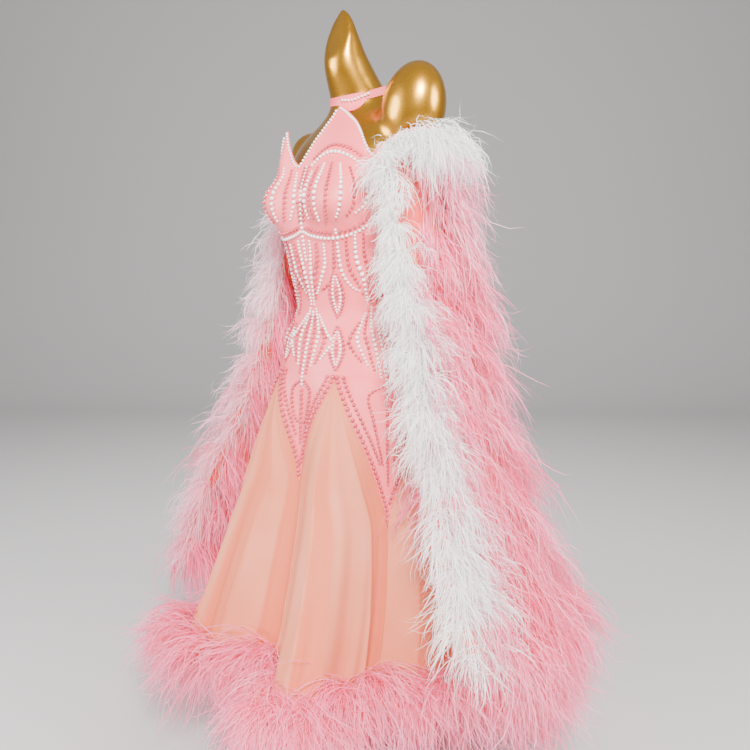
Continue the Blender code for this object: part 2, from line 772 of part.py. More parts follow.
def make_boa(name, grid, rows, side, material):
    """The white feathers down the front edge of a float, with two locks to each row of it."""
    points, normals = [], []
    for i in range(BOA_FROM_ROW, FLOAT_ROWS):
        for share in (0.0, 0.5):
            front = between(grid[i][0], grid[i + 1][0], share)
            back = between(grid[i][1], grid[i + 1][1], share)
            points.append([between(front, back, FLOAT_COLUMNS * a) for a in BOA_ACROSS])
            above = cell_normal(grid, max(BOA_FROM_ROW, i - (share == 0)), 0, side, 1)
            normals.append((above + cell_normal(grid, i, 0, side, 1)).normalized())
    end = FLOAT_ROWS
    points.append([between(grid[end][0], grid[end][1], FLOAT_COLUMNS * a) for a in BOA_ACROSS])
    normals.append(cell_normal(grid, end - 1, 0, side, 1))
    backs, fronts = tape_on(points, normals, BOA_GAP)
    ways = []
    for i in range(len(points) - 1):
        row = rows[BOA_FROM_ROW + i // 2]
        ways.append(at(side * math.radians(row.front_angle + BOA_TURNS[i % 2]), 1, 0))
    make_fringe(name, backs, fronts, ways, BOA_LOCK, HANGING, material)


def form_point(angle, z):
    return at(angle, body_radius(angle, z, FORM_CUP_SHARE), z, read_table(BODY, z).shift)


def form_skin(angle, z, ease):
    """A point of the form's skin, inside the cloth by its wall and the ease."""
    return form_point(angle, z) - (BODICE_WALL + ease) * outward(form_point, angle, z)


def form_ease(z):
    near = math.exp(-(((z - WAIST_Z) / WAIST_EASE_REACH) ** 2))
    return EASE + (WAIST_EASE - EASE) * near


def stub_mesh(stub):
    """The rounded end of the form's shoulder."""
    bm = bmesh.new()
    bmesh.ops.create_uvsphere(bm, u_segments=STUB_SEGMENTS, v_segments=STUB_RINGS, radius=1)
    for v in bm.verts:
        x, y, z = (c * r for c, r in zip(v.co, stub.radii))
        turned = Vector((x * math.cos(STUB_TILT) + z * math.sin(STUB_TILT), y,
                         z * math.cos(STUB_TILT) - x * math.sin(STUB_TILT)))
        v.co = stub.centre + turned
        v.co.x *= stub.side
    return bm


def make_form(material):
    """The limbless form: hips to neck in one skin, with a rounded end at each shoulder."""
    angles = [FULL_TURN * j / FORM_SEGMENTS for j in range(FORM_SEGMENTS)]
    rings = []
    for share, lift in FORM_FOOT:
        z = FORM_FOOT_Z + lift
        rings.append([at(a, share * body_radius(a, z), z) for a in angles])
    heights = [z for z in SKIRT_LEVELS if FORM_FOOT_Z + FORM_FOOT_CLEAR < z < APEX_Z]
    heights += BODY_LEVELS
    heights = sorted(heights) + list(FORM_UPPER_LEVELS)
    rings += [[form_skin(a, z, form_ease(z)) for a in angles] for z in heights]
    for neck in NECK:
        line = []
        for a in angles:
            centre = Vector((0, -neck.shift, neck.z - neck.tilt * math.cos(a)))
            line.append(centre + Vector((neck.half_width * math.sin(a),
                                         -neck.half_depth * math.cos(a), 0)))
        rings.append(line)
    bm = bmesh.new()
    verts = [[bm.verts.new(p) for p in ring] for ring in rings]
    for low, high in zip(verts, verts[1:]):
        for j in range(FORM_SEGMENTS):
            k = (j + 1) % FORM_SEGMENTS
            bm.faces.new((low[j], low[k], high[k], high[j]))
    bm.faces.new(verts[0])
    bm.faces.new(verts[-1])
    form = new_object("form_body", bm, material)
    for stub in STUBS:
        end = new_object(f"stub_{stub.side}".replace("-", "minus"), stub_mesh(stub), material)
        end.hide_render = True
        end.display_type = "WIRE"
        join = form.modifiers.new("join", "BOOLEAN")
        join.operation = "UNION"
        join.object = end
    return form


def make_stand(material):
    bm = bmesh.new()
    bmesh.ops.create_cone(bm, cap_ends=True, segments=BASE_SEGMENTS, radius1=BASE_RADIUS,
                          radius2=BASE_RADIUS, depth=BASE_HEIGHT)
    rim = [e for e in bm.edges if all(v.co.z > 0 for v in e.verts)]
    bmesh.ops.bevel(bm, geom=rim, offset=BASE_EDGE, segments=2, affect="EDGES")
    bmesh.ops.translate(bm, verts=bm.verts, vec=(0, 0, BASE_HEIGHT / 2))
    new_object("stand_base", bm, material)
    low, high = BASE_HEIGHT + SEAM_GAP, FORM_FOOT_Z - SEAM_GAP
    bm = bmesh.new()
    bmesh.ops.create_cone(bm, cap_ends=True, segments=POLE_SEGMENTS, radius1=POLE_RADIUS,
                          radius2=POLE_RADIUS, depth=high - low)
    bmesh.ops.translate(bm, verts=bm.verts, vec=(0, 0, (low + high) / 2))
    new_object("stand_pole", bm, material)


def make_collar(material):
    """The neck strap: wide where it meets the bodice, narrow round the nape."""
    bm = bmesh.new()
    rings = []
    for j in range(COLLAR_SEGMENTS):
        angle = FULL_TURN * j / COLLAR_SEGMENTS
        z = COLLAR_FRONT_Z + COLLAR_RISE * (1 - math.cos(angle)) / 2
        near = math.exp(-((wrapped(angle - COLLAR_WIDE_ANGLE) / COLLAR_WIDE_SPREAD) ** 2))
        half = COLLAR_NARROW + (COLLAR_WIDE - COLLAR_NARROW) * near
        ring = []
        for lift, out in ((-half, 0), (half, 0), (half, COLLAR_WALL), (-half, COLLAR_WALL)):
            point = form_skin(angle, z + lift, EASE)
            point += outward(form_point, angle, z + lift) * (COLLAR_EASE + out)
            ring.append(bm.verts.new(point))
        rings.append(ring)
    for j in range(COLLAR_SEGMENTS):
        here, after = rings[j], rings[(j + 1) % COLLAR_SEGMENTS]
        for k in range(4):
            m = (k + 1) % 4
            bm.faces.new((here[k], after[k], after[m], here[m]))
    new_object("collar", bm, material)


def main():
    clear_scene()
    finish = make_materials()
    make_stand(finish["stand_metal"])
    make_form(finish["gold_form"])
    for tongue in TONGUES:
        make_gore(tongue, finish["pink_satin"])
    make_collar(finish["pink_satin"])
    for godet in GODETS:
        outer, inner = godet_grids(godet)
        wall(godet.name, outer, inner, finish["peach_chiffon"])
        make_hem_fringe(godet, outer, finish["pink_feather"])
    floats = (("left", 1, LEFT_FLOAT, LEFT_INNER_BANDS),
              ("right", -1, RIGHT_FLOAT, RIGHT_INNER_BANDS))
    for name, side, rows, inner_bands in floats:
        edge, band_rows, turns = make_band("band_" + name, side, finish["pink_satin"])
        make_cap_fringe("cap_feathers_" + name, side, edge, band_rows, turns,
                        finish["white_feather"])
        outer, inner = make_float("float_" + name, side, rows, edge[1], turns,
                                  finish["coral_chiffon"])
        make_boa("boa_feathers_" + name, outer, rows, side, finish["white_feather"])
        for i in FLOAT_OUTER_BANDS:
            make_float_row(f"float_feathers_{name}_{i}", outer, rows, i, FLOAT_FIRST_OUTER, side,
                           1, FLOAT_LOCK, finish["pink_feather"])
        for i in inner_bands:
            make_float_row(f"inner_feathers_{name}_{i}", inner, rows, i, FLOAT_FIRST_INNER, side,
                           -1, INNER_LOCK, finish["pink_feather"])


main()
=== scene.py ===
import math

import bmesh
import bpy
import numpy as np
from mathutils import Matrix, Vector


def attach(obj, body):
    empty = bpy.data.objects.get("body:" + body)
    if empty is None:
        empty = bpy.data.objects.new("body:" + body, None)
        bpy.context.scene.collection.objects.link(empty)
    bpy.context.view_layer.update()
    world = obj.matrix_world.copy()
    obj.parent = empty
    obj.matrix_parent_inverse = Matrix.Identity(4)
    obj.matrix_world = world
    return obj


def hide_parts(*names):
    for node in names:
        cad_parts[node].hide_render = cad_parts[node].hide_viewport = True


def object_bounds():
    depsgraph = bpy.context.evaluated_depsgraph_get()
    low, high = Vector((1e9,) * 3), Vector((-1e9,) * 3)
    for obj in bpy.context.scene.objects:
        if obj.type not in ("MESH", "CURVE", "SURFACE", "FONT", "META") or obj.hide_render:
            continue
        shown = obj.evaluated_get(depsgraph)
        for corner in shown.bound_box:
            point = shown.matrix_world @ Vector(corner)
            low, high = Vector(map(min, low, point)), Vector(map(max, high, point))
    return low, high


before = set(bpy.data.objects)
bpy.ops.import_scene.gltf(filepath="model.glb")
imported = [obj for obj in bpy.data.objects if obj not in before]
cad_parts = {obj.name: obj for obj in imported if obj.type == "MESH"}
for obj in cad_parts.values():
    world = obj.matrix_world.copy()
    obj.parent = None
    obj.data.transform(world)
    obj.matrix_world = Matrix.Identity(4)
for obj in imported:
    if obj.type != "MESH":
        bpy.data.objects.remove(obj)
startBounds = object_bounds()
rng = np.random.default_rng(11)
fullTurn = 2 * math.pi

# The dress: metres and degrees, 0 degrees is the front and 90 the wearer's left
dress = {
    "hemZ": 0.200,
    "apexZ": 0.755,  # tops of the godets
    "goreHalf": 36.0,
    "wall": 0.0016,
    "seam": 0.0001,  # half the gap between a tongue and a godet
    "formShare": 0.84,  # how much of the cups the form fills
    "tonguePower": 1.3,
    "lobeFlare": 0.215,
    "lobePower": 0.95,
    "valleyFlare": 0.088,
    "valleyPower": 1.5,
    "driftPower": 3,
    "foldEdge": 0.12,  # the folds start this share in from a godet's seams
    "foldPower": 1.2,
    "cup": {"depth": 0.040, "angle": 38, "spread": 21, "z": 1.078, "rise": 0.062, "fall": 0.044},
    "wing": {"angle": -34, "spread": 19, "rootZ": 1.115, "freeZ": 1.165, "lean": -0.30},
    # z, half width, front depth, back depth, shift to the front
    "body": [
        (0.200, 0.155, 0.115, 0.135, 0.000), (0.500, 0.158, 0.115, 0.138, 0.000),
        (0.660, 0.168, 0.124, 0.142, 0.000), (0.740, 0.172, 0.126, 0.142, 0.000),
        (0.800, 0.158, 0.114, 0.126, 0.001), (0.885, 0.121, 0.092, 0.092, 0.005),
        (0.960, 0.126, 0.098, 0.095, 0.012), (1.030, 0.136, 0.103, 0.100, 0.018),
        (1.090, 0.143, 0.103, 0.102, 0.020), (1.140, 0.146, 0.095, 0.104, 0.016),
        (1.190, 0.140, 0.081, 0.100, 0.005), (1.225, 0.116, 0.069, 0.090, -0.009),
        (1.250, 0.087, 0.063, 0.080, -0.020), (1.270, 0.069, 0.063, 0.070, -0.026),
        (1.290, 0.061, 0.064, 0.063, -0.021), (1.315, 0.056, 0.064, 0.057, -0.012),
        (1.335, 0.052, 0.059, 0.052, -0.004),
    ],
    # angle, z of the bodice's top edge
    "topEdge": [
        (-180, 1.100), (-144, 1.108), (-108, 1.118), (-75, 1.128), (-54, 1.147), (-41, 1.187),
        (-34, 1.223), (-28, 1.190), (-20, 1.160), (-14, 1.152), (-8, 1.181), (-4, 1.212), (0, 1.240),
        (5, 1.261), (11, 1.2645), (20, 1.2600), (36, 1.247), (50, 1.231), (58, 1.211), (63, 1.189),
        (69, 1.165), (75, 1.145), (84, 1.132), (108, 1.122), (144, 1.108), (180, 1.100),
    ],
    # angle, tip z, drift of the valley by the hem
    "tongues": [(-144, 0.500, -4), (-72, 0.500, 2), (0, 0.545, 0), (72, 0.482, -12), (144, 0.500, 5)],
}

# Each godet follows the tongue of the same place in the table above. A fold is across, depth, width,
# and a pleat is across, depth, and its width before and behind its crisp edge
godets = [
    {"name": "godet_side_right", "flare": 1.02, "folds": [(0.34, 0.018, 0.07), (0.73, 0.022, 0.06)],
     "pleats": [(0.16, 0.014, 0.05, 0.010), (0.36, 0.018, 0.05, 0.012), (0.55, 0.017, 0.05, 0.012),
                (0.82, 0.012, 0.04, 0.010)]},
    {"name": "godet_front_right", "flare": 1.00,
     "folds": [(0.30, 0.018, 0.06), (0.58, 0.022, 0.06), (0.80, 0.012, 0.06)],
     "pleats": [(0.18, 0.015, 0.05, 0.010), (0.40, 0.020, 0.06, 0.012), (0.58, 0.016, 0.04, 0.010),
                (0.74, 0.021, 0.03, 0.012), (0.88, 0.014, 0.03, 0.010)]},
    {"name": "godet_front_left", "flare": 1.00, "folds": [(0.24, 0.016, 0.07), (0.70, 0.026, 0.06)],
     "pleats": [(0.10, 0.009, 0.04, 0.010), (0.46, 0.019, 0.12, 0.010), (0.60, 0.012, 0.05, 0.012),
                (0.86, 0.014, 0.04, 0.012)]},
    {"name": "godet_side_left", "flare": 1.10, "folds": [(0.28, 0.022, 0.06), (0.66, 0.016, 0.07)],
     "pleats": [(0.14, 0.012, 0.05, 0.010), (0.46, 0.015, 0.08, 0.012), (0.82, 0.012, 0.05, 0.010)]},
    {"name": "godet_back", "flare": 1.04,
     "folds": [(0.22, 0.014, 0.06), (0.50, 0.024, 0.07), (0.78, 0.016, 0.06)],
     "pleats": [(0.12, 0.010, 0.05, 0.010), (0.36, 0.015, 0.07, 0.012), (0.64, 0.014, 0.06, 0.010),
                (0.90, 0.010, 0.04, 0.012)]},
]


def curveThrough(rows):  # a smooth curve through a table that rises in its first column
    table = np.array(rows, float)
    x, y = table[:, 0], table[:, 1:]
    step = np.diff(x)[:, None]
    rise = np.diff(y, axis=0) / step
    slope = np.zeros_like(y)
    same = rise[:-1] * rise[1:] > 0
    total = np.where(same, rise[:-1] + rise[1:], 1)
    slope[1:-1] = np.where(same, 2 * rise[:-1] * rise[1:] / total, 0)

    def read(at):
        at = np.clip(at, x[0], x[-1])
        i = np.clip(np.searchsorted(x, at, side="right") - 1, 0, len(x) - 2)
        t = ((at - x[i]) / (x[i + 1] - x[i]))[..., None]
        s = step[i]
        return (y[i] * (2 * t**3 - 3 * t**2 + 1) + slope[i] * s * (t**3 - 2 * t**2 + t)
                + y[i + 1] * (3 * t**2 - 2 * t**3) + slope[i + 1] * s * (t**3 - t**2))

    return read


readBody = curveThrough(dress["body"])
readTop = curveThrough(dress["topEdge"])


def easeInOut(share):
    share = np.clip(share, 0, 1)
    return share * share * (3 - 2 * share)


def wrapped(angle):
    return (angle + math.pi) % fullTurn - math.pi


def unit(v):
    return v / np.maximum(np.linalg.norm(v, axis=-1, keepdims=True), 1e-9)


def ringPoint(angle, radius, z, shift=0.0):
    x = radius * np.sin(angle)
    y = -shift - radius * np.cos(angle)
    return np.stack(np.broadcast_arrays(x, y, z), -1)


def bell(off, spread):  # 1 in the middle and less to both sides
    return np.exp(-((off / spread) ** 2))


def bellRound(angle, middle, spread):  # the same round the body, middle and spread in degrees
    return bell(wrapped(angle - math.radians(middle)), math.radians(spread))


def bodyRadius(angle, z, cupShare=1.0):
    ring = readBody(z)
    depth = np.where(np.cos(angle) > 0, ring[..., 1], ring[..., 2])
    radius = 1 / np.hypot(np.sin(angle) / ring[..., 0], np.cos(angle) / depth)
    cup = dress["cup"]
    aside = (np.abs(wrapped(angle)) - math.radians(cup["angle"])) / math.radians(cup["spread"])
    above = (z - cup["z"]) / np.where(z > cup["z"], cup["rise"], cup["fall"])
    return radius + cupShare * cup["depth"] * bell(aside, 1) * bell(above, 1)


def wingLift(angle, z):
    wing = dress["wing"]
    rootZ = np.full_like(z, wing["rootZ"])
    near = bellRound(angle, wing["angle"], wing["spread"])
    free = easeInOut((z - wing["rootZ"]) / (wing["freeZ"] - wing["rootZ"]))
    straight = bodyRadius(angle, rootZ) + wing["lean"] * (z - wing["rootZ"])
    straight += readBody(rootZ)[..., 3] - readBody(z)[..., 3]
    return near * free * np.maximum(0, straight - bodyRadius(angle, z))


def downward(z):
    return np.maximum(0, (dress["apexZ"] - z) / (dress["apexZ"] - dress["hemZ"]))


def valleyAngle(k, z):
    angle, _, drift = dress["tongues"][k % len(godets)]
    return np.radians(angle + drift * downward(z) ** dress["driftPower"])


def skirtFlare(angle, z):
    fall = downward(z)
    lobe, flare = np.zeros_like(fall + angle), np.ones_like(fall + angle)
    for k in range(len(godets)):
        start = valleyAngle(k, z)
        width = (valleyAngle(k + 1, z) - start) % fullTurn
        across = ((angle - start) % fullTurn) / width
        inside = across <= 1
        lobe = np.where(inside, 0.5 * (1 - np.cos(fullTurn * across)), lobe)
        flare = np.where(inside, godets[k]["flare"], flare)
    valley = dress["valleyFlare"] * fall ** dress["valleyPower"]
    return (1 - lobe) * valley + lobe * flare * dress["lobeFlare"] * fall ** dress["lobePower"]


def dressPoint(angle, z):
    angle, z = np.broadcast_arrays(np.asarray(angle, float), np.asarray(z, float))
    radius = bodyRadius(angle, z) + wingLift(angle, z) + skirtFlare(angle, z)
    return ringPoint(angle, radius, z, readBody(z)[..., 3])


def formPoint(angle, z):
    angle, z = np.broadcast_arrays(np.asarray(angle, float), np.asarray(z, float))
    return ringPoint(angle, bodyRadius(angle, z, dress["formShare"]), z, readBody(z)[..., 3])


def normalOf(surface, a, b, stepA=0.002, stepB=0.0005):  # b rises, a runs anticlockwise
    along = surface(a + stepA, b) - surface(a - stepA, b)
    upward = surface(a, b + stepB) - surface(a, b - stepB)
    return unit(np.cross(along, upward))


def tongueHalf(k, z):
    _, tip, _ = dress["tongues"][k % len(godets)]
    left = np.clip(1 - (dress["apexZ"] - z) / (dress["apexZ"] - tip), 0, 1)
    return np.where(z >= dress["apexZ"], 1, left ** dress["tonguePower"]) * math.radians(dress["goreHalf"])


def foldDepth(k, across):
    return sum(depth * bell(across - place, width) for place, depth, width in godets[k]["folds"])


def godetPoint(k, across, z, extra=0.0):
    across, z = np.broadcast_arrays(np.asarray(across, float), np.asarray(z, float))
    low = valleyAngle(k, z)
    width = (valleyAngle(k + 1, z) - low) % fullTurn
    gap = dress["seam"] / bodyRadius(np.zeros_like(z), z)
    low = low + tongueHalf(k, z) + gap
    angle = low + (width - tongueHalf(k, z) - tongueHalf(k + 1, z) - 2 * gap) * across
    point = dressPoint(angle, z)
    edge = dress["foldEdge"]
    fade = easeInOut(across / edge) * easeInOut((1 - across) / edge)
    cut = fade * downward(z) ** dress["foldPower"] * (foldDepth(k, across) + extra)
    return point - cut[..., None] * ringPoint(angle, 1.0, 0.0)


def addObject(name, data):
    obj = bpy.data.objects.new(name, data)
    bpy.context.scene.collection.objects.link(obj)
    return obj


def setValues(mesh, name, values):
    attribute = mesh.attributes.new(name, "FLOAT", "POINT")
    attribute.data.foreach_set("value", values.astype(np.float32))


def makeMesh(name, verts, faces, materials, merge=0.0, indices=None, tone=None):
    mesh = bpy.data.meshes.new(name)
    mesh.from_pydata(np.asarray(verts).tolist(), [], faces)
    if tone is not None:
        setValues(mesh, "tone", tone)
    for material in materials:
        mesh.materials.append(material)
    if indices is not None:
        mesh.polygons.foreach_set("material_index", indices)
    if merge:
        bm = bmesh.new()
        bm.from_mesh(mesh)
        bmesh.ops.remove_doubles(bm, verts=bm.verts, dist=merge)
        bmesh.ops.dissolve_degenerate(bm, dist=merge, edges=bm.edges)
        bmesh.ops.recalc_face_normals(bm, faces=bm.faces)
        bm.to_mesh(mesh)
        bm.free()
    mesh.shade_smooth()
    mesh.set_sharp_from_angle(angle=math.radians(60))
    mesh.validate()
    return addObject(name, mesh)


def ownPiece(obj, slot, *nodes):  # one piece on the root body that stands for its nodes
    if nodes:
        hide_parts(*nodes)
    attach(obj, "root")
    return obj


# a closed cloth from its outer and inner points; sides tell the outer faces, 0, from the lining, 1
def shell(outer, inner, openRows=0, ring=False, start=0):
    rows, columns = outer.shape[:2]
    count = rows * columns
    verts = np.concatenate([outer.reshape(-1, 3), inner.reshape(-1, 3)])
    faces, sides = [], []

    def at(i, j, side):
        return start + side * count + i * columns + (j % columns if ring else j)

    across = columns if ring else columns - 1
    for i in range(rows - 1):
        for j in range(across):
            faces.append((at(i, j, 0), at(i + 1, j, 0), at(i + 1, j + 1, 0), at(i, j + 1, 0)))
            sides.append(0)
            faces.append((at(i, j, 1), at(i, j + 1, 1), at(i + 1, j + 1, 1), at(i + 1, j, 1)))
            sides.append(1)
    for j in range(across):
        for i in (0, rows - 1):
            faces.append((at(i, j, 0), at(i, j + 1, 0), at(i, j + 1, 1), at(i, j, 1)))
            sides.append(0)
    if not ring:
        for i in range(openRows, rows - 1):
            for j in (0, columns - 1):
                faces.append((at(i, j, 0), at(i + 1, j, 0), at(i + 1, j, 1), at(i, j, 1)))
                sides.append(0)
    return verts, faces, sides


def node(tree, kind, **settings):
    made = tree.nodes.new(kind)
    for name, value in settings.items():
        setattr(made, name, value)
    return made


def newMaterial(name):
    material = bpy.data.materials.new(name)
    material.use_nodes = True
    tree = material.node_tree
    shader = tree.nodes["Principled BSDF"]
    return material, tree, shader


def ramp(tree, factor, stops):
    made = tree.nodes.new("ShaderNodeValToRGB")
    made.color_ramp.elements[0].position = stops[0][0]
    made.color_ramp.elements[0].color = (*stops[0][1], 1)
    made.color_ramp.elements[1].position = stops[-1][0]
    made.color_ramp.elements[1].color = (*stops[-1][1], 1)
    for position, colour in stops[1:-1]:
        made.color_ramp.elements.new(position).color = (*colour, 1)
    tree.links.new(factor, made.inputs["Fac"])
    return made.outputs["Color"]


def noiseNode(tree, scale, detail, stretch=(1, 1, 1)):
    coords = tree.nodes.new("ShaderNodeTexCoord")
    mapping = tree.nodes.new("ShaderNodeMapping")
    mapping.inputs["Scale"].default_value = stretch
    tree.links.new(coords.outputs["Object"], mapping.inputs["Vector"])
    made = tree.nodes.new("ShaderNodeTexNoise")
    made.inputs["Scale"].default_value = scale
    made.inputs["Detail"].default_value = detail
    tree.links.new(mapping.outputs["Vector"], made.inputs["Vector"])
    return made.outputs["Fac"]


def addBump(tree, shader, height, strength, distance):
    bump = tree.nodes.new("ShaderNodeBump")
    bump.inputs["Strength"].default_value = strength
    bump.inputs["Distance"].default_value = distance
    tree.links.new(height, bump.inputs["Height"])
    tree.links.new(bump.outputs["Normal"], shader.inputs["Normal"])


def weave(tree, scale):
    coords = tree.nodes.new("ShaderNodeTexCoord")
    waves = []
    for direction in ("X", "Z"):
        wave = node(tree, "ShaderNodeTexWave", bands_direction=direction)
        wave.inputs["Scale"].default_value = scale
        wave.inputs["Distortion"].default_value = 0.6
        tree.links.new(coords.outputs["Object"], wave.inputs["Vector"])
        waves.append(wave.outputs["Fac"])
    both = node(tree, "ShaderNodeMath", operation="MULTIPLY")
    for socket, wave in zip(both.inputs, waves):
        tree.links.new(wave, socket)
    return both.outputs[0]


def clothMaterial(name, look):
    material, tree, shader = newMaterial(name)
    shade = noiseNode(tree, look["patch"], 4)
    tree.links.new(ramp(tree, shade, [(0.3, look["dark"]), (0.7, look["light"])]),
                   shader.inputs["Base Color"])
    shader.inputs["Roughness"].default_value = look["roughness"]
    shader.inputs["Sheen Weight"].default_value = look["sheen"]
    shader.inputs["Sheen Roughness"].default_value = 0.4
    shader.inputs["Sheen Tint"].default_value = (*look["light"], 1)
    shader.inputs["Specular IOR Level"].default_value = look["specular"]
    addBump(tree, shader, weave(tree, look["weave"]), look["bump"], 0.0004)
    return material


def throughLight(material, colour, share):  # lets part of the light through a thin cloth or barb
    tree = material.node_tree
    shader = tree.nodes["Principled BSDF"]
    output = tree.nodes["Material Output"]
    glow = tree.nodes.new("ShaderNodeBsdfTranslucent")
    glow.inputs["Color"].default_value = (*colour, 1)
    source = shader.inputs["Base Color"]
    if source.is_linked:
        tree.links.new(source.links[0].from_socket, glow.inputs["Color"])
    mix = tree.nodes.new("ShaderNodeMixShader")
    mix.inputs["Fac"].default_value = share
    tree.links.new(shader.outputs[0], mix.inputs[1])
    tree.links.new(glow.outputs[0], mix.inputs[2])
    tree.links.new(mix.outputs[0], output.inputs["Surface"])


looks = {
    "satin": {"dark": (0.93, 0.125, 0.150), "light": (0.97, 0.185, 0.215), "roughness": 0.46, "sheen": 0.2,
              "specular": 0.35, "patch": 9, "weave": 900, "bump": 0.10},
    "lining": {"dark": (0.80, 0.13, 0.16), "light": (0.86, 0.18, 0.20), "roughness": 0.6, "sheen": 0.2,
               "specular": 0.3, "patch": 12, "weave": 900, "bump": 0.10},
    "chiffon": {"dark": (0.92, 0.31, 0.17), "light": (0.97, 0.43, 0.265), "roughness": 0.7, "sheen": 0.1,
                "specular": 0.2, "patch": 5, "weave": 1300, "bump": 0.15},
    "coral": {"dark": (0.92, 0.10, 0.08), "light": (0.95, 0.17, 0.14), "roughness": 0.65, "sheen": 0.1,
              "specular": 0.25, "patch": 8, "weave": 1200, "bump": 0.12},
}


def featherMaterial(name, stops):
    material, tree, shader = newMaterial(name)
    tone = node(tree, "ShaderNodeAttribute", attribute_name="tone")
    tree.links.new(ramp(tree, tone.outputs["Fac"], stops), shader.inputs["Base Color"])
    shader.inputs["Roughness"].default_value = 0.65
    shader.inputs["Specular IOR Level"].default_value = 0.25
    throughLight(material, stops[-1][1], 0.4)
    return material


def pearlMaterial(name, dark, light):
    material, tree, shader = newMaterial(name)
    shade = noiseNode(tree, 60, 2)
    tree.links.new(ramp(tree, shade, [(0.35, dark), (0.65, light)]), shader.inputs["Base Color"])
    shader.inputs["Roughness"].default_value = 0.3
    shader.inputs["Coat Weight"].default_value = 0.35
    shader.inputs["Coat Roughness"].default_value = 0.2
    shader.inputs["Specular IOR Level"].default_value = 0.5
    return material


def goldMaterial():
    material, tree, shader = newMaterial("gold_gloss")
    grain = noiseNode(tree, 420, 4)
    tree.links.new(ramp(tree, grain, [(0.3, (0.44, 0.20, 0.010)), (0.7, (0.57, 0.28, 0.020))]),
                   shader.inputs["Base Color"])
    shader.inputs["Metallic"].default_value = 0.9
    shader.inputs["Roughness"].default_value = 0.28
    shader.inputs["Coat Weight"].default_value = 0.25
    shader.inputs["Coat Roughness"].default_value = 0.05
    addBump(tree, shader, noiseNode(tree, 900, 2), 0.06, 0.0003)
    return material


def steelMaterial():  # brushed round the pole and the base
    material, tree, shader = newMaterial("stand_steel")
    brushed = noiseNode(tree, 40, 4, stretch=(1, 1, 30))
    tree.links.new(ramp(tree, brushed, [(0.3, (0.50, 0.50, 0.51)), (0.7, (0.66, 0.66, 0.67))]),
                   shader.inputs["Base Color"])
    tree.links.new(ramp(tree, brushed, [(0.3, (0.24,) * 3), (0.7, (0.38,) * 3)]),
                   shader.inputs["Roughness"])
    shader.inputs["Metallic"].default_value = 1.0
    addBump(tree, shader, brushed, 0.08, 0.0003)
    return material


def addLayersAndShade(material, deep):  # colours the cloth deeper where the piece's tone is low: where the chiffon lies double, and painted shade in its folds and by the godets' seams
    tree = material.node_tree
    shader = tree.nodes["Principled BSDF"]
    plain = shader.inputs["Base Color"].links[0].from_socket
    tone = node(tree, "ShaderNodeAttribute", attribute_name="tone")
    mix = node(tree, "ShaderNodeMix", data_type="RGBA")
    mix.inputs["A"].default_value = (*deep, 1)
    tree.links.new(tone.outputs["Fac"], mix.inputs["Factor"])
    tree.links.new(plain, mix.inputs["B"])
    tree.links.new(mix.outputs["Result"], shader.inputs["Base Color"])


materials = {name: clothMaterial(name, look) for name, look in looks.items()}
# the deep colour serves the double layers and the painted shade in the folds and by the seams
addLayersAndShade(materials["chiffon"], (0.88, 0.215, 0.105))
throughLight(materials["chiffon"], looks["chiffon"]["light"], 0.35)
throughLight(materials["coral"], looks["coral"]["light"], 0.3)
materials["gold"] = goldMaterial()
# feather ramps run deep to pale: a barb's own tone, with painted shade at its root and a painted highlight
# at its tip
materials["pinkFeather"] = featherMaterial("pink_feather", [
    (0.0, (0.97, 0.09, 0.25)), (0.35, (0.99, 0.22, 0.39)),
    (0.75, (1.0, 0.43, 0.57)), (1.0, (1.0, 0.76, 0.82))])
materials["whiteFeather"] = featherMaterial("white_feather", [
    (0.0, (0.86, 0.87, 0.86)), (0.4, (0.95, 0.96, 0.94)),
    (1.0, (1.0, 1.0, 0.99))])
materials["paleFeather"] = featherMaterial("pale_feather", [
    (0.0, (0.98, 0.42, 0.55)), (0.35, (0.98, 0.58, 0.68)),
    (0.7, (0.98, 0.86, 0.88)), (1.0, (1.0, 0.99, 0.98))])
materials["whitePearl"] = pearlMaterial("white_pearl", (0.90, 0.88, 0.87), (0.97, 0.96, 0.95))
materials["pinkPearl"] = pearlMaterial("pink_pearl", (0.52, 0.045, 0.075), (0.66, 0.085, 0.12))


# The form: a smooth limbless torso, neck and two shoulder ends
formParts = {
    "columns": 96,
    "rows": 96,
    "voxel": 0.0060,
    # rounds of smoothing: all over, on the rim of the neck's cut, and where a shoulder end meets the torso
    "smoothing": {"": 9, "rim": 22, "fillet": 90},
    "rimZ": 1.352,
    "rimFade": 0.012,
    "easeTop": 0.003,
    "easeWaist": 0.00035,
    "waist": (0.885, 0.07),  # z and reach of the closer fit
    "foot": [(0.62, 0.660), (0.88, 0.666)],
    "torsoFrom": 0.670,
    "neckFrom": 1.285,
    # z, tilt, half width, half depth, shift to the front
    "neck": [(1.3400, 0.015, 0.0445, 0.0415, 0.011), (1.3725, 0.0275, 0.0395, 0.0300, 0.025),
             (1.3980, 0.0430, 0.0350, 0.0195, 0.035), (1.4045, 0.0450, 0.0220, 0.0120, 0.036)],
    # side, centre, radii
    "stubs": [(1, (0.149, 0.018, 1.245), (0.063, 0.056, 0.088)),
              (-1, (0.140, 0.020, 1.186), (0.052, 0.050, 0.052))],
    "tilt": 17,
    "filletReach": (0.45, 0.03),  # off the end, as a share of its size, and off the torso in metres
}


def splinePoint(a, b, c, d, t):  # on the smooth curve from b to c
    return 0.5 * (2 * b + (c - a) * t + (2 * a - 5 * b + 4 * c - d) * t**2 + (3 * b - a - 3 * c + d) * t**3)


def smoothRings(rings, steps=4):  # a smooth surface through rings of points
    rings = np.array(rings)
    padded = np.concatenate([[2 * rings[0] - rings[1]], rings, [2 * rings[-1] - rings[-2]]])
    found = []
    for i in range(1, len(padded) - 2):
        a, b, c, d = padded[i - 1:i + 3]
        for t in np.arange(steps) / steps:
            found.append(splinePoint(a, b, c, d, t))
    return found + [rings[-1]]


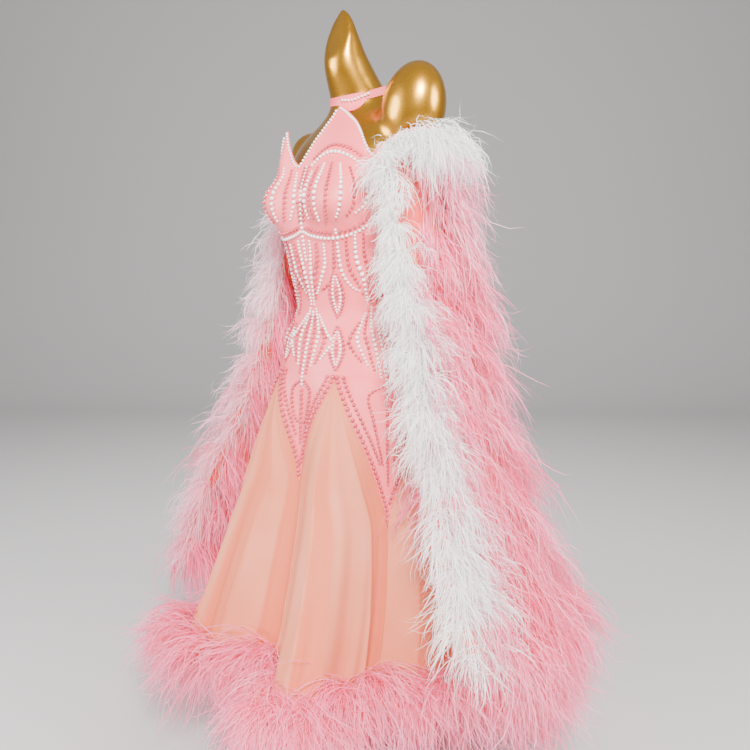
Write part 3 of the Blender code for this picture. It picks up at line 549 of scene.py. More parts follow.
def formRings():
    angles = np.linspace(0, fullTurn, formParts["columns"], endpoint=False)
    rings = [ringPoint(angles, share * bodyRadius(angles, np.full_like(angles, z)), z)
             for share, z in formParts["foot"]]
    for z in np.linspace(formParts["torsoFrom"], formParts["neckFrom"], formParts["rows"]):
        waist = bell(z - formParts["waist"][0], formParts["waist"][1])
        ease = formParts["easeTop"] + (formParts["easeWaist"] - formParts["easeTop"]) * waist
        zs = np.full_like(angles, z)
        rings.append(formPoint(angles, zs) - (dress["wall"] + ease) * normalOf(formPoint, angles, zs))
    neck = [rings[-1]]
    for z, tilt, halfWidth, halfDepth, shift in formParts["neck"]:
        neck.append(np.stack([halfWidth * np.sin(angles), -shift - halfDepth * np.cos(angles),
                              z - tilt * np.cos(angles)], -1))
    return rings + smoothRings(neck)[1:]


def shoulderEnd(bm, side, centre, radii):
    tilt = math.radians(formParts["tilt"])
    made = bmesh.ops.create_uvsphere(bm, u_segments=48, v_segments=32, radius=1)
    for v in made["verts"]:
        x, y, z = (c * r for c, r in zip(v.co, radii))
        v.co = (side * (centre[0] + x * math.cos(tilt) + z * math.sin(tilt)), centre[1] + y,
                centre[2] + z * math.cos(tilt) - x * math.sin(tilt))


def nearFillet(points):  # 1 where a shoulder end meets the torso, fading to 0
    tilt = math.radians(formParts["tilt"])
    weight = np.zeros(len(points))
    angle = np.arctan2(points[:, 0], -(points[:, 1] + readBody(points[:, 2])[:, 3]))
    torso = np.linalg.norm(formPoint(angle, points[:, 2])[:, :2], axis=1)
    off = np.abs(np.linalg.norm(points[:, :2], axis=1) - torso)
    for side, centre, radii in formParts["stubs"]:
        x, y, z = (points[:, i] * (side if i == 0 else 1) - centre[i] for i in range(3))
        across, rise = x * math.cos(tilt) - z * math.sin(tilt), x * math.sin(tilt) + z * math.cos(tilt)
        ball = np.sqrt((across / radii[0]) ** 2 + (y / radii[1]) ** 2 + (rise / radii[2]) ** 2)
        onBall, onTorso = formParts["filletReach"]
        near = np.clip(1.3 - np.abs(ball - 1) / onBall, 0, 1) * np.clip(1.3 - off / onTorso, 0, 1)
        weight = np.maximum(weight, near)
    return weight


def makeForm():
    bm = bmesh.new()
    rows = [[bm.verts.new(p) for p in ring] for ring in formRings()]
    count = formParts["columns"]
    for low, high in zip(rows, rows[1:]):
        for j in range(count):
            k = (j + 1) % count
            bm.faces.new((low[j], low[k], high[k], high[j]))
    bm.faces.new(rows[0][::-1])
    bm.faces.new(rows[-1])
    for side, centre, radii in formParts["stubs"]:
        shoulderEnd(bm, side, centre, radii)
    bmesh.ops.recalc_face_normals(bm, faces=bm.faces)
    mesh = bpy.data.meshes.new("form")
    bm.to_mesh(mesh)
    bm.free()
    obj = addObject("form", mesh)
    remesh = obj.modifiers.new("remesh", "REMESH")
    remesh.mode = "VOXEL"
    remesh.voxel_size = formParts["voxel"]
    settle(obj)
    points = np.empty(len(obj.data.vertices) * 3)
    obj.data.vertices.foreach_get("co", points)
    points = points.reshape(-1, 3)
    rim = easeInOut((points[:, 2] - formParts["rimZ"]) / formParts["rimFade"])
    areas = {"fillet": nearFillet(points), "rim": rim}
    for name, weights in areas.items():
        group = obj.vertex_groups.new(name=name)
        for i in np.flatnonzero(weights > 0):
            group.add([int(i)], float(weights[i]), "REPLACE")
    for name in ("fillet", "rim", ""):
        smooth = obj.modifiers.new("smooth", "SMOOTH")
        smooth.factor = 0.5
        smooth.iterations = formParts["smoothing"][name]
        smooth.vertex_group = name
    settle(obj)
    obj.vertex_groups.clear()
    obj.data.materials.clear()
    obj.data.materials.append(materials["gold"])
    obj.data.shade_smooth()
    return ownPiece(obj, "gold_form", "form_body")


def settle(obj):  # applies the modifiers to the mesh
    evaluated = obj.evaluated_get(bpy.context.evaluated_depsgraph_get())
    done = bpy.data.meshes.new_from_object(evaluated)
    obj.modifiers.clear()
    obj.data = done
    done.name = obj.name


# The bodice, with soft stretch creases: angle, z, length, tilt, height, width
bodiceParts = {
    "columns": 24,
    "upperRows": 64,
    "tongueRows": 30,
    "rowPower": 1.15,
    "slip": 0.002,  # radians by which a tongue's edge keeps off the godets
    "girth": 0.13,  # metres to a radian at the creases
    "creases": [
        (58, 1.085, 0.050, 35, 0.0016, 0.006), (66, 1.060, 0.045, 20, 0.0013, 0.005),
        (-60, 1.082, 0.048, -35, 0.0016, 0.006), (-68, 1.055, 0.045, -18, 0.0012, 0.005),
        (84, 0.930, 0.050, 8, 0.0012, 0.006), (96, 0.902, 0.055, -5, 0.0014, 0.006),
        (-88, 0.925, 0.050, -9, 0.0012, 0.006), (-99, 0.900, 0.055, 6, 0.0014, 0.006),
        (160, 0.925, 0.045, 14, 0.0015, 0.007), (-158, 0.905, 0.050, -10, 0.0014, 0.006),
        (172, 0.868, 0.060, 4, 0.0012, 0.007), (-140, 0.872, 0.040, -16, 0.0010, 0.006),
        (48, 0.862, 0.038, 28, 0.0024, 0.007), (56, 0.838, 0.045, 18, 0.0026, 0.008),
        (50, 0.800, 0.040, 35, 0.0020, 0.008), (-50, 0.858, 0.038, -26, 0.0022, 0.007),
        (-57, 0.830, 0.045, -16, 0.0024, 0.008), (-46, 0.795, 0.040, -34, 0.0018, 0.008),
    ],
}


def creaseHeight(angle, z):
    total = np.zeros(np.broadcast(angle, z).shape)
    for middle, height, length, tilt, rise, width in bodiceParts["creases"]:
        across = wrapped(angle - math.radians(middle)) * bodiceParts["girth"]
        turn = math.radians(tilt)
        u = across * math.cos(turn) + (z - height) * math.sin(turn)
        v = -across * math.sin(turn) + (z - height) * math.cos(turn)
        total += rise * bell(u, length) * bell(v, width)
    return total


def bodicePoint(angle, z):
    return dressPoint(angle, z) + creaseHeight(angle, z)[..., None] * ringPoint(angle, 1.0, 0.0)


def makeBodice():
    verts, faces, sides = [], [], []
    count = 0
    for k, (middle, tip, _) in enumerate(dress["tongues"]):
        across = np.linspace(-1, 1, bodiceParts["columns"] + 1)[None, :]
        topAngles = math.radians(middle) + across * math.radians(dress["goreHalf"])
        top = readTop(np.degrees(wrapped(topAngles)))[..., 0]
        share = np.linspace(1, 0, bodiceParts["upperRows"])[:, None] ** bodiceParts["rowPower"]
        upper = dress["apexZ"] + (top - dress["apexZ"]) * share
        lower = np.linspace(dress["apexZ"], tip + 0.001, bodiceParts["tongueRows"] + 1)[1:, None]
        z = np.concatenate([upper, np.repeat(lower, across.shape[1], 1)])
        half = tongueHalf(k, z)
        half[-1] = 0
        gap = np.where(z < dress["apexZ"] - 0.0001, bodiceParts["slip"], 0)
        angle = valleyAngle(k, z) + across * np.maximum(half - gap, 0)
        outer = bodicePoint(angle, z)
        normal = normalOf(dressPoint, angle, z)
        inner = outer - dress["wall"] * normal
        v, f, s = shell(outer, inner, bodiceParts["upperRows"] - 1, start=count)
        verts.append(v)
        faces += f
        sides += s
        count += len(v)
    obj = makeMesh("bodice", np.concatenate(verts), faces, [materials["satin"], materials["lining"]],
                   merge=0.00002, indices=sides)
    return ownPiece(obj, "pink_satin", "gore_front", "gore_left", "gore_right", "gore_back_left",
                    "gore_back_right")


collarParts = {"frontZ": 1.2745, "rise": 0.036, "half": 0.0065, "fan": 0.0165, "fanAngle": 34,
               "fanSpread": 20, "ease": 0.0006, "wall": 0.0012, "gathers": 46, "gatherDepth": 0.0019,
               "pinchAngle": 58, "pinchSpread": 7, "pinch": 0.4, "columns": 360, "rows": 9}


def collarPoint(angle, across):  # the strap's outer face, with a gathered fan above the halter panel
    c = collarParts
    fan = bellRound(angle, c["fanAngle"], c["fanSpread"])
    pinch = bellRound(angle, c["pinchAngle"], c["pinchSpread"])
    middle = c["frontZ"] + c["rise"] * (1 - np.cos(angle)) / 2
    half = c["half"] * (1 - c["pinch"] * pinch)
    z = middle + half * across - c["fan"] * fan * (1 - across) / 2
    normal = normalOf(formPoint, angle, z)
    skin = formPoint(angle, z) - (dress["wall"] + 0.003) * normal
    ripple = c["gatherDepth"] * (0.5 + 0.5 * np.sin(angle * c["gathers"] + 1.5 * across))
    ripple = ripple * (0.15 + 0.85 * np.maximum(fan, pinch)) * (1 - 0.6 * across**2)
    return skin, normal, ripple


def collarFace(angle, across):
    skin, normal, ripple = collarPoint(angle, across)
    c = collarParts
    return skin + normal * (c["ease"] + c["wall"] + ripple)[..., None]


def collarTop(angle, across):  # the smooth face that lies on the tops of the gathers
    skin, normal, _ = collarPoint(angle, across)
    return skin + normal * (collarParts["ease"] + collarParts["wall"] + collarParts["gatherDepth"])


def makeCollar():
    angle, across = np.meshgrid(np.linspace(0, fullTurn, collarParts["columns"], endpoint=False),
                                np.linspace(1, -1, collarParts["rows"]))
    skin, normal, _ = collarPoint(angle, across)
    verts, faces, sides = shell(collarFace(angle, across), skin + normal * collarParts["ease"], ring=True)
    obj = makeMesh("collar_strap", verts, faces, [materials["satin"]], merge=0.00001)
    return ownPiece(obj, "pink_satin", "collar")


# tones and toneEdge give the pale and deep layers; the last three keys set the painted shade: the width of
# the band by each seam, its darkness, and the darkness of the folds
godetParts = {"columns": 96, "rows": 32, "wall": 0.0009, "ripple": 0.0014, "ripples": 9,
              "tones": (0.22, 0.95), "toneEdge": 0.016, "edgeShade": 0.10,
              "edgeShadeDepth": 0.35, "foldShade": 14}


def pleatWander(k, z):
    return 0.02 * np.sin(4.0 * downward(z) + 1.7 * k)


def finePleats(k, across, z):  # depth of the crisp pleats and of a soft ripple between them
    wander = pleatWander(k, z)
    total = np.zeros(np.broadcast(across, z).shape)
    for place, depth, before, behind in godets[k]["pleats"]:
        aside = across - place - wander
        total -= depth * np.exp(-np.abs(aside) / np.where(aside < 0, before, behind))
    count = godetParts["ripples"] + k % 3
    wave = np.sin(fullTurn * (count * across + 0.3 * np.sin(5.1 * across + k) + 6 * wander))
    return total + godetParts["ripple"] * wave


def layerAndShadeTone(k, across, z):  # pale and deep stretches between the pleats, as where chiffon lies double, with painted shade darkening the folds and the stretches by the seams
    wander = pleatWander(k, z)
    tone = np.full(np.broadcast(across, z).shape, godetParts["tones"][k % 2])
    for i, (place, *_) in enumerate(godets[k]["pleats"]):
        step = godetParts["tones"][(i + k + 1) % 2] - godetParts["tones"][(i + k) % 2]
        tone = tone + step * easeInOut((across - place - wander) / godetParts["toneEdge"] + 0.5)
    tone = 0.5 + (tone - 0.5) * easeInOut(downward(z) * 2.5)
    # painted shade: darker by the godet's seams and in the folds, more so towards the hem
    edge = easeInOut(1 - np.minimum(across, 1 - across) / godetParts["edgeShade"])
    shade = (godetParts["foldShade"] * foldDepth(k, across) + godetParts["edgeShadeDepth"] * edge) * downward(z)
    return np.clip(tone - shade, 0, 1)


def makeGodets():
    made = []
    for k, godet in enumerate(godets):
        across, z = np.meshgrid(np.linspace(0, 1, godetParts["columns"] + 1),
                                np.linspace(dress["apexZ"] - 0.001, dress["hemZ"], godetParts["rows"] + 1))

        def surface(a, h, k=k):
            a = np.clip(a, 0, 1)
            return godetPoint(k, a, h, finePleats(k, a, h))

        outer = surface(across, z)
        outer[0] = outer[0, godetParts["columns"] // 2]
        normal = normalOf(surface, across, z, 0.004, 0.001)
        normal[0] = normal[1, godetParts["columns"] // 2]
        inner = outer - godetParts["wall"] * normal
        verts, faces, sides = shell(outer, inner)
        name = godet["name"].replace("godet", "chiffon")
        tone = layerAndShadeTone(k, across, z).reshape(-1)
        obj = makeMesh(name, verts, faces, [materials["chiffon"]], merge=0.00001,
                       tone=np.concatenate([tone, tone]))
        made.append(ownPiece(obj, "peach_chiffon", godet["name"]))
    return made


# The sleeve bands (angle, radius, z) and the floats (z, front angle, back angle, front and back radius)
bandRows = [(58, 0.0, 1.118), (62, 0.151, 1.140), (68, 0.176, 1.162), (78, 0.199, 1.182),
            (92, 0.208, 1.188), (104, 0.207, 1.178), (115, 0.192, 1.146), (123, 0.163, 1.106),
            (128, 0.0, 1.080)]
floatSides = {
    "left": {
        "side": 1, "turn": 0, "drop": 0.0, "innerRows": (2, 4), "boaFade": 0.0, "bareFront": 0.06,
        "boaColour": "whiteFeather",
        "rows": [(1.150, 67, 119, 0.188, 0.178), (1.045, 70, 124, 0.199, 0.198),
                 (0.965, 72, 129, 0.203, 0.208), (0.885, 75, 134, 0.208, 0.218),
                 (0.805, 77, 138, 0.219, 0.232), (0.725, 78, 142, 0.237, 0.250),
                 (0.645, 78, 146, 0.259, 0.272), (0.565, 78, 150, 0.286, 0.298),
                 (0.485, 77, 153, 0.317, 0.328), (0.405, 77, 156, 0.354, 0.362),
                 (0.325, 77, 158, 0.398, 0.400)],
    },
    "right": {
        "side": -1, "turn": 12, "drop": 0.058, "innerRows": (3, 6), "boaFade": 0.9, "bareFront": 0.0,
        "boaColour": "paleFeather",
        "rows": [(1.090, 84, 131, 0.188, 0.178), (1.015, 86, 133, 0.203, 0.195),
                 (0.945, 85, 135, 0.212, 0.204), (0.875, 82, 138, 0.226, 0.216),
                 (0.805, 79, 141, 0.243, 0.232), (0.725, 76, 144, 0.265, 0.251),
                 (0.645, 73, 147, 0.290, 0.273), (0.565, 70, 149, 0.317, 0.298),
                 (0.485, 67, 151, 0.346, 0.327), (0.405, 66, 153, 0.378, 0.360),
                 (0.325, 65, 155, 0.412, 0.398)],
    },
}
floatParts = {"wall": 0.0009, "waves": 2, "waveDepth": 0.016, "columns": 40, "rows": 60,
              "bandHalf": 0.019, "bandWall": 0.002, "bandColumns": 60, "bandRows": 7, "bandGap": 0.0011,
              # where the top edge hangs, off and under the band, and how fast the float leaves it
              "hangGap": (0.00075, 0.0006), "hang": 10}


def reach(angle, z):  # how far the dress comes out at this angle and height
    turn = angle
    for _ in range(8):  # settles on the turn that puts the point at this angle
        point = dressPoint(turn, z)
        turn = turn + angle - math.atan2(point[0], -point[1])
    return math.hypot(point[0], point[1])


def bandCurve(piece):
    rows = []
    for degrees, radius, z in bandRows:
        z -= piece["drop"]
        degrees += piece["turn"]
        if not radius:
            angle = piece["side"] * math.radians(degrees)
            half = floatParts["bandHalf"]
            radius = floatParts["bandGap"] + max(reach(angle, z + lift) for lift in (-half, 0, half))
        rows.append((degrees, radius, z))
    return curveThrough(rows), rows[0][0], rows[-1][0]


def bandPoint(piece, degrees):
    read, _, _ = piece["band"]
    row = read(degrees)
    return ringPoint(piece["side"] * np.radians(degrees), row[..., 0], row[..., 1])


def bandNormal(piece, degrees):
    along = bandPoint(piece, degrees + 0.4) - bandPoint(piece, degrees - 0.4)
    normal = np.stack([along[..., 1], -along[..., 0], np.zeros_like(along[..., 0])], -1)
    return unit(normal * piece["side"])


def makeBand(name, piece):
    _, first, last = piece["band"]
    up = np.linspace(1, -1, floatParts["bandRows"]) * floatParts["bandHalf"]
    degrees, rise = np.meshgrid(np.linspace(first + 0.2, last - 0.2, floatParts["bandColumns"]), up)
    middle = bandPoint(piece, degrees)
    middle[..., 2] += rise
    normal = bandNormal(piece, degrees)
    outer = middle + normal * floatParts["bandWall"] / 2
    inner = middle - normal * floatParts["bandWall"] / 2
    verts, faces, sides = shell(outer, inner)
    obj = makeMesh("sleeve_band_" + name, verts, faces, [materials["satin"]], merge=0.00001)
    return ownPiece(obj, "pink_satin", "band_" + name)


def floatPoint(piece, across, fall):  # fall runs from 0 at the band to 1 at the hem
    across, fall = np.broadcast_arrays(np.asarray(across, float), np.asarray(fall, float))
    row = piece["table"](fall)
    z, front, back, frontRadius, backRadius = (row[..., i] for i in range(5))
    degrees = front + (back - front) * across
    angle = piece["side"] * np.radians(degrees)
    wave = floatParts["waveDepth"] * fall * np.cos(fullTurn * floatParts["waves"] * across)
    point = ringPoint(angle, frontRadius + (backRadius - frontRadius) * across + wave, z)
    out, under = floatParts["hangGap"]
    top = bandPoint(piece, degrees) + bandNormal(piece, degrees) * out
    top[..., 2] -= floatParts["bandHalf"] + under
    blend = easeInOut(fall * floatParts["hang"])[..., None]
    low = top + (point - top) * blend
    low[..., 2] = top[..., 2] + (z - top[..., 2]) * np.clip(fall * floatParts["hang"], 0, 1)
    return low


def floatNormal(piece, across, fall):
    a, b = np.clip(across - 0.01, 0, 1), np.clip(across + 0.01, 0, 1)
    c, d = np.clip(fall - 0.005, 0, 1), np.clip(fall + 0.005, 0, 1)
    along = floatPoint(piece, b, fall) - floatPoint(piece, a, fall)
    upward = floatPoint(piece, across, c) - floatPoint(piece, across, d)
    return unit(np.cross(along, upward) * piece["side"])


def makeFloat(name, piece):
    across, fall = np.meshgrid(*(np.linspace(0, 1, floatParts[way] + 1) for way in ("columns", "rows")))
    outer = floatPoint(piece, across, fall)
    inner = outer - floatNormal(piece, across, fall) * floatParts["wall"]
    verts, faces, sides = shell(outer, inner)
    obj = makeMesh("float_cloth_" + name, verts, faces, [materials["coral"]], merge=0.00001)
    return ownPiece(obj, "coral_chiffon", "float_" + name)


# Feathers. Each barb is a thin ribbon that leaves its root at one pitch and ends at another. They may
# pass the solids' box a little, and stay over a height of their own
plumeRoom = {"side": 0.026, "floor": 0.012, "floatFloor": 0.14, "capFloor": 1.0}
# a stray barb's spread against the others'; swirl, wobble and tone about those of its clump; how far
# it curls back, where the hook at its tip starts, how strong it is, and the barb's width along it
barb = {"stray": 2.2, "swirl": 0.6, "wobble": 0.22, "tone": 0.12, "curlBack": 0.6, "hookFrom": 0.55,
        "hook": 2.2, "taper": ((0, 0.6), (0.25, 1.0), (0.7, 0.75), (1, 0.0))}


def clumpTable(roots, normals, look, turn=0.0):
    count = len(roots)
    heading = np.arctan2(normals[:, 1], normals[:, 0]) + turn
    heading = heading + rng.uniform(-1, 1, count) * math.radians(look["fan"])
    return {
        "root": roots + normals * look["lift"],
        "heading": heading,
        "start": np.radians(rng.uniform(*look["startPitch"], count)),
        "end": np.radians(rng.uniform(*look["endPitch"], count)),
        "length": rng.uniform(*look["length"], count),
        "swirl": np.radians(rng.normal(0, look["swirl"], count)),
        "tone": rng.uniform(*look["tone"], count),
    }


def roomFor(root, away, floorZ):  # the share of its length at which a barb stays in the model's box
    low = np.array([startBounds[0][0] - plumeRoom["side"], startBounds[0][1] - plumeRoom["side"], floorZ])
    high = np.array(startBounds[1]) + plumeRoom["side"]
    over = np.where(away > 0, high - root[:, None, :], low - root[:, None, :])
    share = np.maximum(over / np.where(np.abs(away) < 1e-6, np.inf, away), 0)
    share = np.where(np.abs(away) < 1e-6, 1, share)
    return np.clip(share.min(axis=(1, 2)), 0.15, 1)


def barbDirection(pitch, turn):
    return np.stack([np.cos(pitch) * np.cos(turn), np.cos(pitch) * np.sin(turn), np.sin(pitch)], -1)


def growBarbs(clumps, look, floorZ):
    per = look["perClump"]
    n = len(clumps["root"]) * per
    pick = np.repeat(np.arange(len(clumps["root"])), per)
    loose = np.where(rng.random(n) < look["stray"], barb["stray"], 1.0)
    root = clumps["root"][pick] + rng.normal(0, look["rootSpread"], (n, 3)) * [1, 1, 0.7]
    along = rng.random(n)  # where on its quill a barb starts
    hand = rng.choice((-1.0, 1.0), n)
    middle = clumps["heading"][pick]
    spread = math.radians(look["pitchSpread"])
    start = clumps["start"][pick] - math.radians(look["droop"]) * along
    quill = barbDirection(start, middle) * (clumps["length"][pick] * look["quill"] * along)[:, None]
    start = start + rng.normal(0, spread, n) * loose
    end = clumps["end"][pick] + rng.normal(0, spread, n) * loose
    splay = hand * math.radians(look["splay"]) * rng.uniform(0.2, 1.2, n) * (1 - 0.5 * along)
    heading = middle + splay + rng.normal(0, math.radians(look["headingSpread"]), n) * loose
    length = clumps["length"][pick] * (1 - 0.7 * look["quill"] * along) * rng.uniform(0.5, 1.1, n)
    swirl = clumps["swirl"][pick] + rng.normal(0, math.radians(look["swirl"]) * barb["swirl"], n) * loose
    swirl = swirl - barb["curlBack"] * splay
    hook = rng.normal(0, math.radians(look["hook"]), n)
    wobble = rng.normal(0, barb["wobble"], n)
    phase = rng.uniform(0, fullTurn, n)
    tone = np.clip(clumps["tone"][pick] + rng.normal(0, barb["tone"], n), 0, 1)
    segments = look["segments"]
    steps = []
    for s in range(segments):
        t = (s + 0.5) / segments
        pitch = start + (end - start) * t ** look["bend"]
        pitch = pitch + hook * max(0, t - barb["hookFrom"]) * barb["hook"]
        turn = heading + swirl * t * t + wobble * np.sin(5.0 * t + phase)
        steps.append(barbDirection(pitch, turn) * (length / segments)[:, None])
    away = np.concatenate([np.zeros((n, 1, 3)), np.cumsum(np.stack(steps, 1), axis=1)], 1)
    away = quill[:, None, :] + away
    path = root[:, None, :] + away * roomFor(root, away, floorZ)[:, None, None]
    tangent = np.gradient(path, axis=1)
    facing = rng.normal(0, 1, (n, 3)) + unit(root * [1, 1, 0]) * look["facing"]
    side = unit(np.cross(tangent, facing[:, None, :]))
    t = np.linspace(0, 1, segments + 1)
    width = look["width"] * np.interp(t, *zip(*barb["taper"]))
    width = width[None, :, None] * rng.uniform(0.6, 1.3, (n, 1, 1))
    return path - side * width / 2, path + side * width / 2, tone


def ribbonPiece(name, groups, material):
    verts, faces, tones = [], [], []
    base = 0
    for left, right, tone in groups:
        n, m = left.shape[:2]
        each = 2 * m - 1  # pairs of points, then one at the tip
        both = np.stack([left[:, :-1], right[:, :-1]], 2).reshape(n, -1, 3)
        verts.append(np.concatenate([both, left[:, -1:]], 1).reshape(-1, 3))
        start = base + np.arange(n) * each
        for s in range(m - 1):
            a = start + 2 * s
            if s < m - 2:
                faces.append(np.stack([a, a + 1, a + 3], 1))
                faces.append(np.stack([a, a + 3, a + 2], 1))
            else:
                faces.append(np.stack([a, a + 1, a + 2], 1))
        # each barb is painted darker at its root and paler towards its tip: painted shade deep in the plume
        # and a painted highlight at the tips, over the clump's own random tone
        share = np.repeat(np.linspace(0, 1, m), 2)[:-1]
        tones.append(np.clip(tone[:, None] * 0.55 + 0.45 * share[None, :] ** 0.8, 0, 1).reshape(-1))
        base += n * each
    verts, faces = np.concatenate(verts), np.concatenate(faces)
    mesh = bpy.data.meshes.new(name)
    mesh.vertices.add(len(verts))
    mesh.vertices.foreach_set("co", verts.astype(np.float32).ravel())
    mesh.loops.add(len(faces) * 3)
    mesh.loops.foreach_set("vertex_index", faces.astype(np.int32).ravel())
    mesh.polygons.add(len(faces))
    mesh.polygons.foreach_set("loop_start", np.arange(0, len(faces) * 3, 3, dtype=np.int32))
    mesh.polygons.foreach_set("use_smooth", np.ones(len(faces), bool))
    mesh.update(calc_edges=True)
    setValues(mesh, "tone", np.concatenate(tones))
    mesh.materials.append(material)
    print(name, len(faces), "triangles")
    return addObject(name, mesh)


# pitches, fan, splay, swirl, hook and spreads in degrees; quill is the share of the length that
# carries barbs
featherBase = {
    "perClump": 20, "lift": 0.003, "droop": 34, "swirl": 42, "hook": 54, "stray": 0.15, "rootSpread": 0.004,
    "headingSpread": 14, "pitchSpread": 14, "segments": 5, "bend": 0.8, "width": 0.0015,
    "facing": 1.2,
}
featherLooks = {
    "hem": {**featherBase, "perClump": 24, "fan": 42, "startPitch": (-30, 62), "endPitch": (-100, -40),
            "length": (0.115, 0.185), "quill": 0.42, "droop": 38, "splay": 52, "swirl": 36, "hook": 48,
            "tone": (0.05, 0.85), "stray": 0.14, "headingSpread": 11, "pitchSpread": 12, "bend": 0.85,
            "width": 0.0017},
    "float": {**featherBase, "perClump": 24, "fan": 36, "startPitch": (-65, 18), "endPitch": (-102, -70),
              "length": (0.105, 0.165), "quill": 0.45, "splay": 46, "swirl": 32, "hook": 46,
              "tone": (0.05, 0.85), "stray": 0.14, "headingSpread": 11, "pitchSpread": 11, "bend": 0.7,
              "width": 0.0017},
    "inner": {**featherBase, "fan": 40, "startPitch": (-60, 10), "endPitch": (-98, -70),
              "length": (0.09, 0.15), "quill": 0.4, "droop": 30, "splay": 44, "swirl": 28, "hook": 40,
              "tone": (0.05, 0.75), "stray": 0.1, "headingSpread": 12, "pitchSpread": 11, "bend": 0.6,
              "width": 0.0017},
    "boa": {**featherBase, "lift": 0.002, "fan": 75, "startPitch": (-55, 50), "endPitch": (-108, -50),
            "length": (0.06, 0.112), "quill": 0.36, "splay": 52, "tone": (0.2, 1.0)},
    "cap": {**featherBase, "fan": 34, "startPitch": (-45, 42), "endPitch": (-112, -62),
            "length": (0.075, 0.125), "quill": 0.38, "splay": 50, "tone": (0.2, 1.0),
            "rootSpread": 0.005},
}
# clumps in each place; the boas bunch at knots along the float's front edge
featherCounts = {
    "hem": 825, "hemRows": ((0.004, 0.5), (0.014, 0.3), (0.030, 0.2)),  # height over the hem, share
    "left": {"outer": 590, "inner": 100, "boa": 460, "cap": 190, "capFrom": 10, "capScale": 1.0,
             "boaDrift": 0.15},
    "right": {"outer": 450, "inner": 275, "boa": 250, "cap": 85, "capFrom": 10, "capScale": 0.85,
              "boaDrift": 0.0},
    # a cap feather's share of its length by degrees past the band's end
    "capLength": ((9, 0.36), (18, 0.45), (28, 0.9), (44, 0.95), (58, 0.70)),
    "edgeShare": 0.16, "edgeFall": 0.985,  # a full row on the bottom edge
    "fallPower": 0.9, "innerPower": 1.4,  # more clumps low down, and on the inside near the front
    "knots": 11, "knotShare": 0.7, "boaTurn": 38, "boaAcross": 0.08, "capTurn": 55, "capTurnOver": 26,
    # the bare corner beside the boa, where the coral shows: its size, how far the clumps in it move
    # aside, the length of those below it, and where and how the boa keeps off it
    "slitFall": 0.19, "slitAcross": 0.30, "slitMove": 0.3, "slitShort": 0.55, "slitBoa": (0.10, 0.08),
    "slitTurn": 0.9,
}


def hemFeathers():
    roots, normals = [], []
    each = featherCounts["hem"] // len(godets)
    for k in range(len(godets)):
        across = (np.arange(each) + rng.random(each)) / each
        lifts, shares = zip(*featherCounts["hemRows"])
        z = dress["hemZ"] + rng.choice(lifts, each, p=shares)
        point = godetPoint(k, across, z, finePleats(k, across, z))
        angle = np.arctan2(point[:, 0], -point[:, 1])
        out = ringPoint(angle, 1.0, 0.0)
        roots.append(point)
        normals.append(out)
    look = featherLooks["hem"]
    clumps = clumpTable(np.concatenate(roots), np.concatenate(normals), look)
    obj = ribbonPiece("hem_plumes", [growBarbs(clumps, look, plumeRoom["floor"])], materials["pinkFeather"])
    return ownPiece(obj, "pink_feather", *[g["name"].replace("godet", "hem_feathers") for g in godets])


def floatFeathers(name, piece):
    groups = []
    c = featherCounts
    for place, face in (("outer", 1), ("inner", -1)):
        look = featherLooks["float" if face > 0 else "inner"]
        count = c[name][place]
        fall = rng.random(count) ** c["fallPower"]
        fall[: int(count * c["edgeShare"])] = c["edgeFall"]
        if face > 0:
            across = rng.uniform(piece["bareFront"], 1.0, count)
        else:
            across = rng.random(count) ** c["innerPower"]
        across[(fall < c["slitFall"]) & (across < c["slitAcross"])] += c["slitMove"]
        point = floatPoint(piece, across, fall)
        normal = floatNormal(piece, across, fall) * face
        clumps = clumpTable(point, normal, look)
        clumps["tone"] += 0.45 * bell(fall, 0.16)  # paler at the top
        beside = (face > 0) & (fall < c["slitFall"] * 1.4) & (across < 2 * c["slitAcross"])
        clumps["length"] *= np.where(beside, c["slitShort"], 1.0)
        clumps["length"] *= 1 + 0.4 * fall**2
        groups.append(growBarbs(clumps, look, plumeRoom["floatFloor"]))
    obj = ribbonPiece("float_plumes_" + name, groups, materials["pinkFeather"])
    return ownPiece(obj, "pink_feather", *[f"float_feathers_{name}_{i}" for i in (1, 3, 5, 7, 9)],
                    *[f"inner_feathers_{name}_{i}" for i in piece["innerRows"]])


def boaFeathers(name, piece):
    look = featherLooks["boa"]
    c, own = featherCounts, featherCounts[name]
    fall = rng.random(own["boa"])
    knot = np.round(fall * c["knots"]) / c["knots"]
    fall = np.clip(fall + (knot - fall) * c["knotShare"] * rng.random(own["boa"]), 0, 1)
    across = rng.random(own["boa"]) * (c["boaAcross"] + own["boaDrift"] * fall**2)
    point = floatPoint(piece, across, fall)
    angle = np.arctan2(point[:, 0], -point[:, 1])
    out = ringPoint(angle, 1.0, 0.0)
    beside = bell(fall - c["slitBoa"][0], c["slitBoa"][1]) * (piece["bareFront"] > 0)
    turn = -piece["side"] * math.radians(c["boaTurn"]) * (1 - 0.9 * fall**2 + c["slitTurn"] * beside)
    clumps = clumpTable(point, out, look, turn)
    clumps["tone"] -= piece["boaFade"] * fall
    clumps["length"] *= 1 + 0.25 * fall - 0.3 * beside
    return growBarbs(clumps, look, plumeRoom["floatFloor"])


def capFeathers(name, piece):
    look = featherLooks["cap"]
    c, own = featherCounts, featherCounts[name]
    _, first, last = piece["band"]
    degrees = rng.uniform(first + own["capFrom"], last - 5, own["cap"])
    grown = np.interp(degrees - first, *zip(*c["capLength"])) * own["capScale"]
    point = bandPoint(piece, degrees)
    point[:, 2] += rng.uniform(-0.010, 0.020, len(point))
    normal = bandNormal(piece, degrees)
    back = np.clip(1 - (degrees - first) / c["capTurnOver"], 0, 1)
    turn = piece["side"] * math.radians(c["capTurn"]) * back
    clumps = clumpTable(point, normal, look, turn)
    clumps["length"] *= grown
    return growBarbs(clumps, look, plumeRoom["capFloor"])


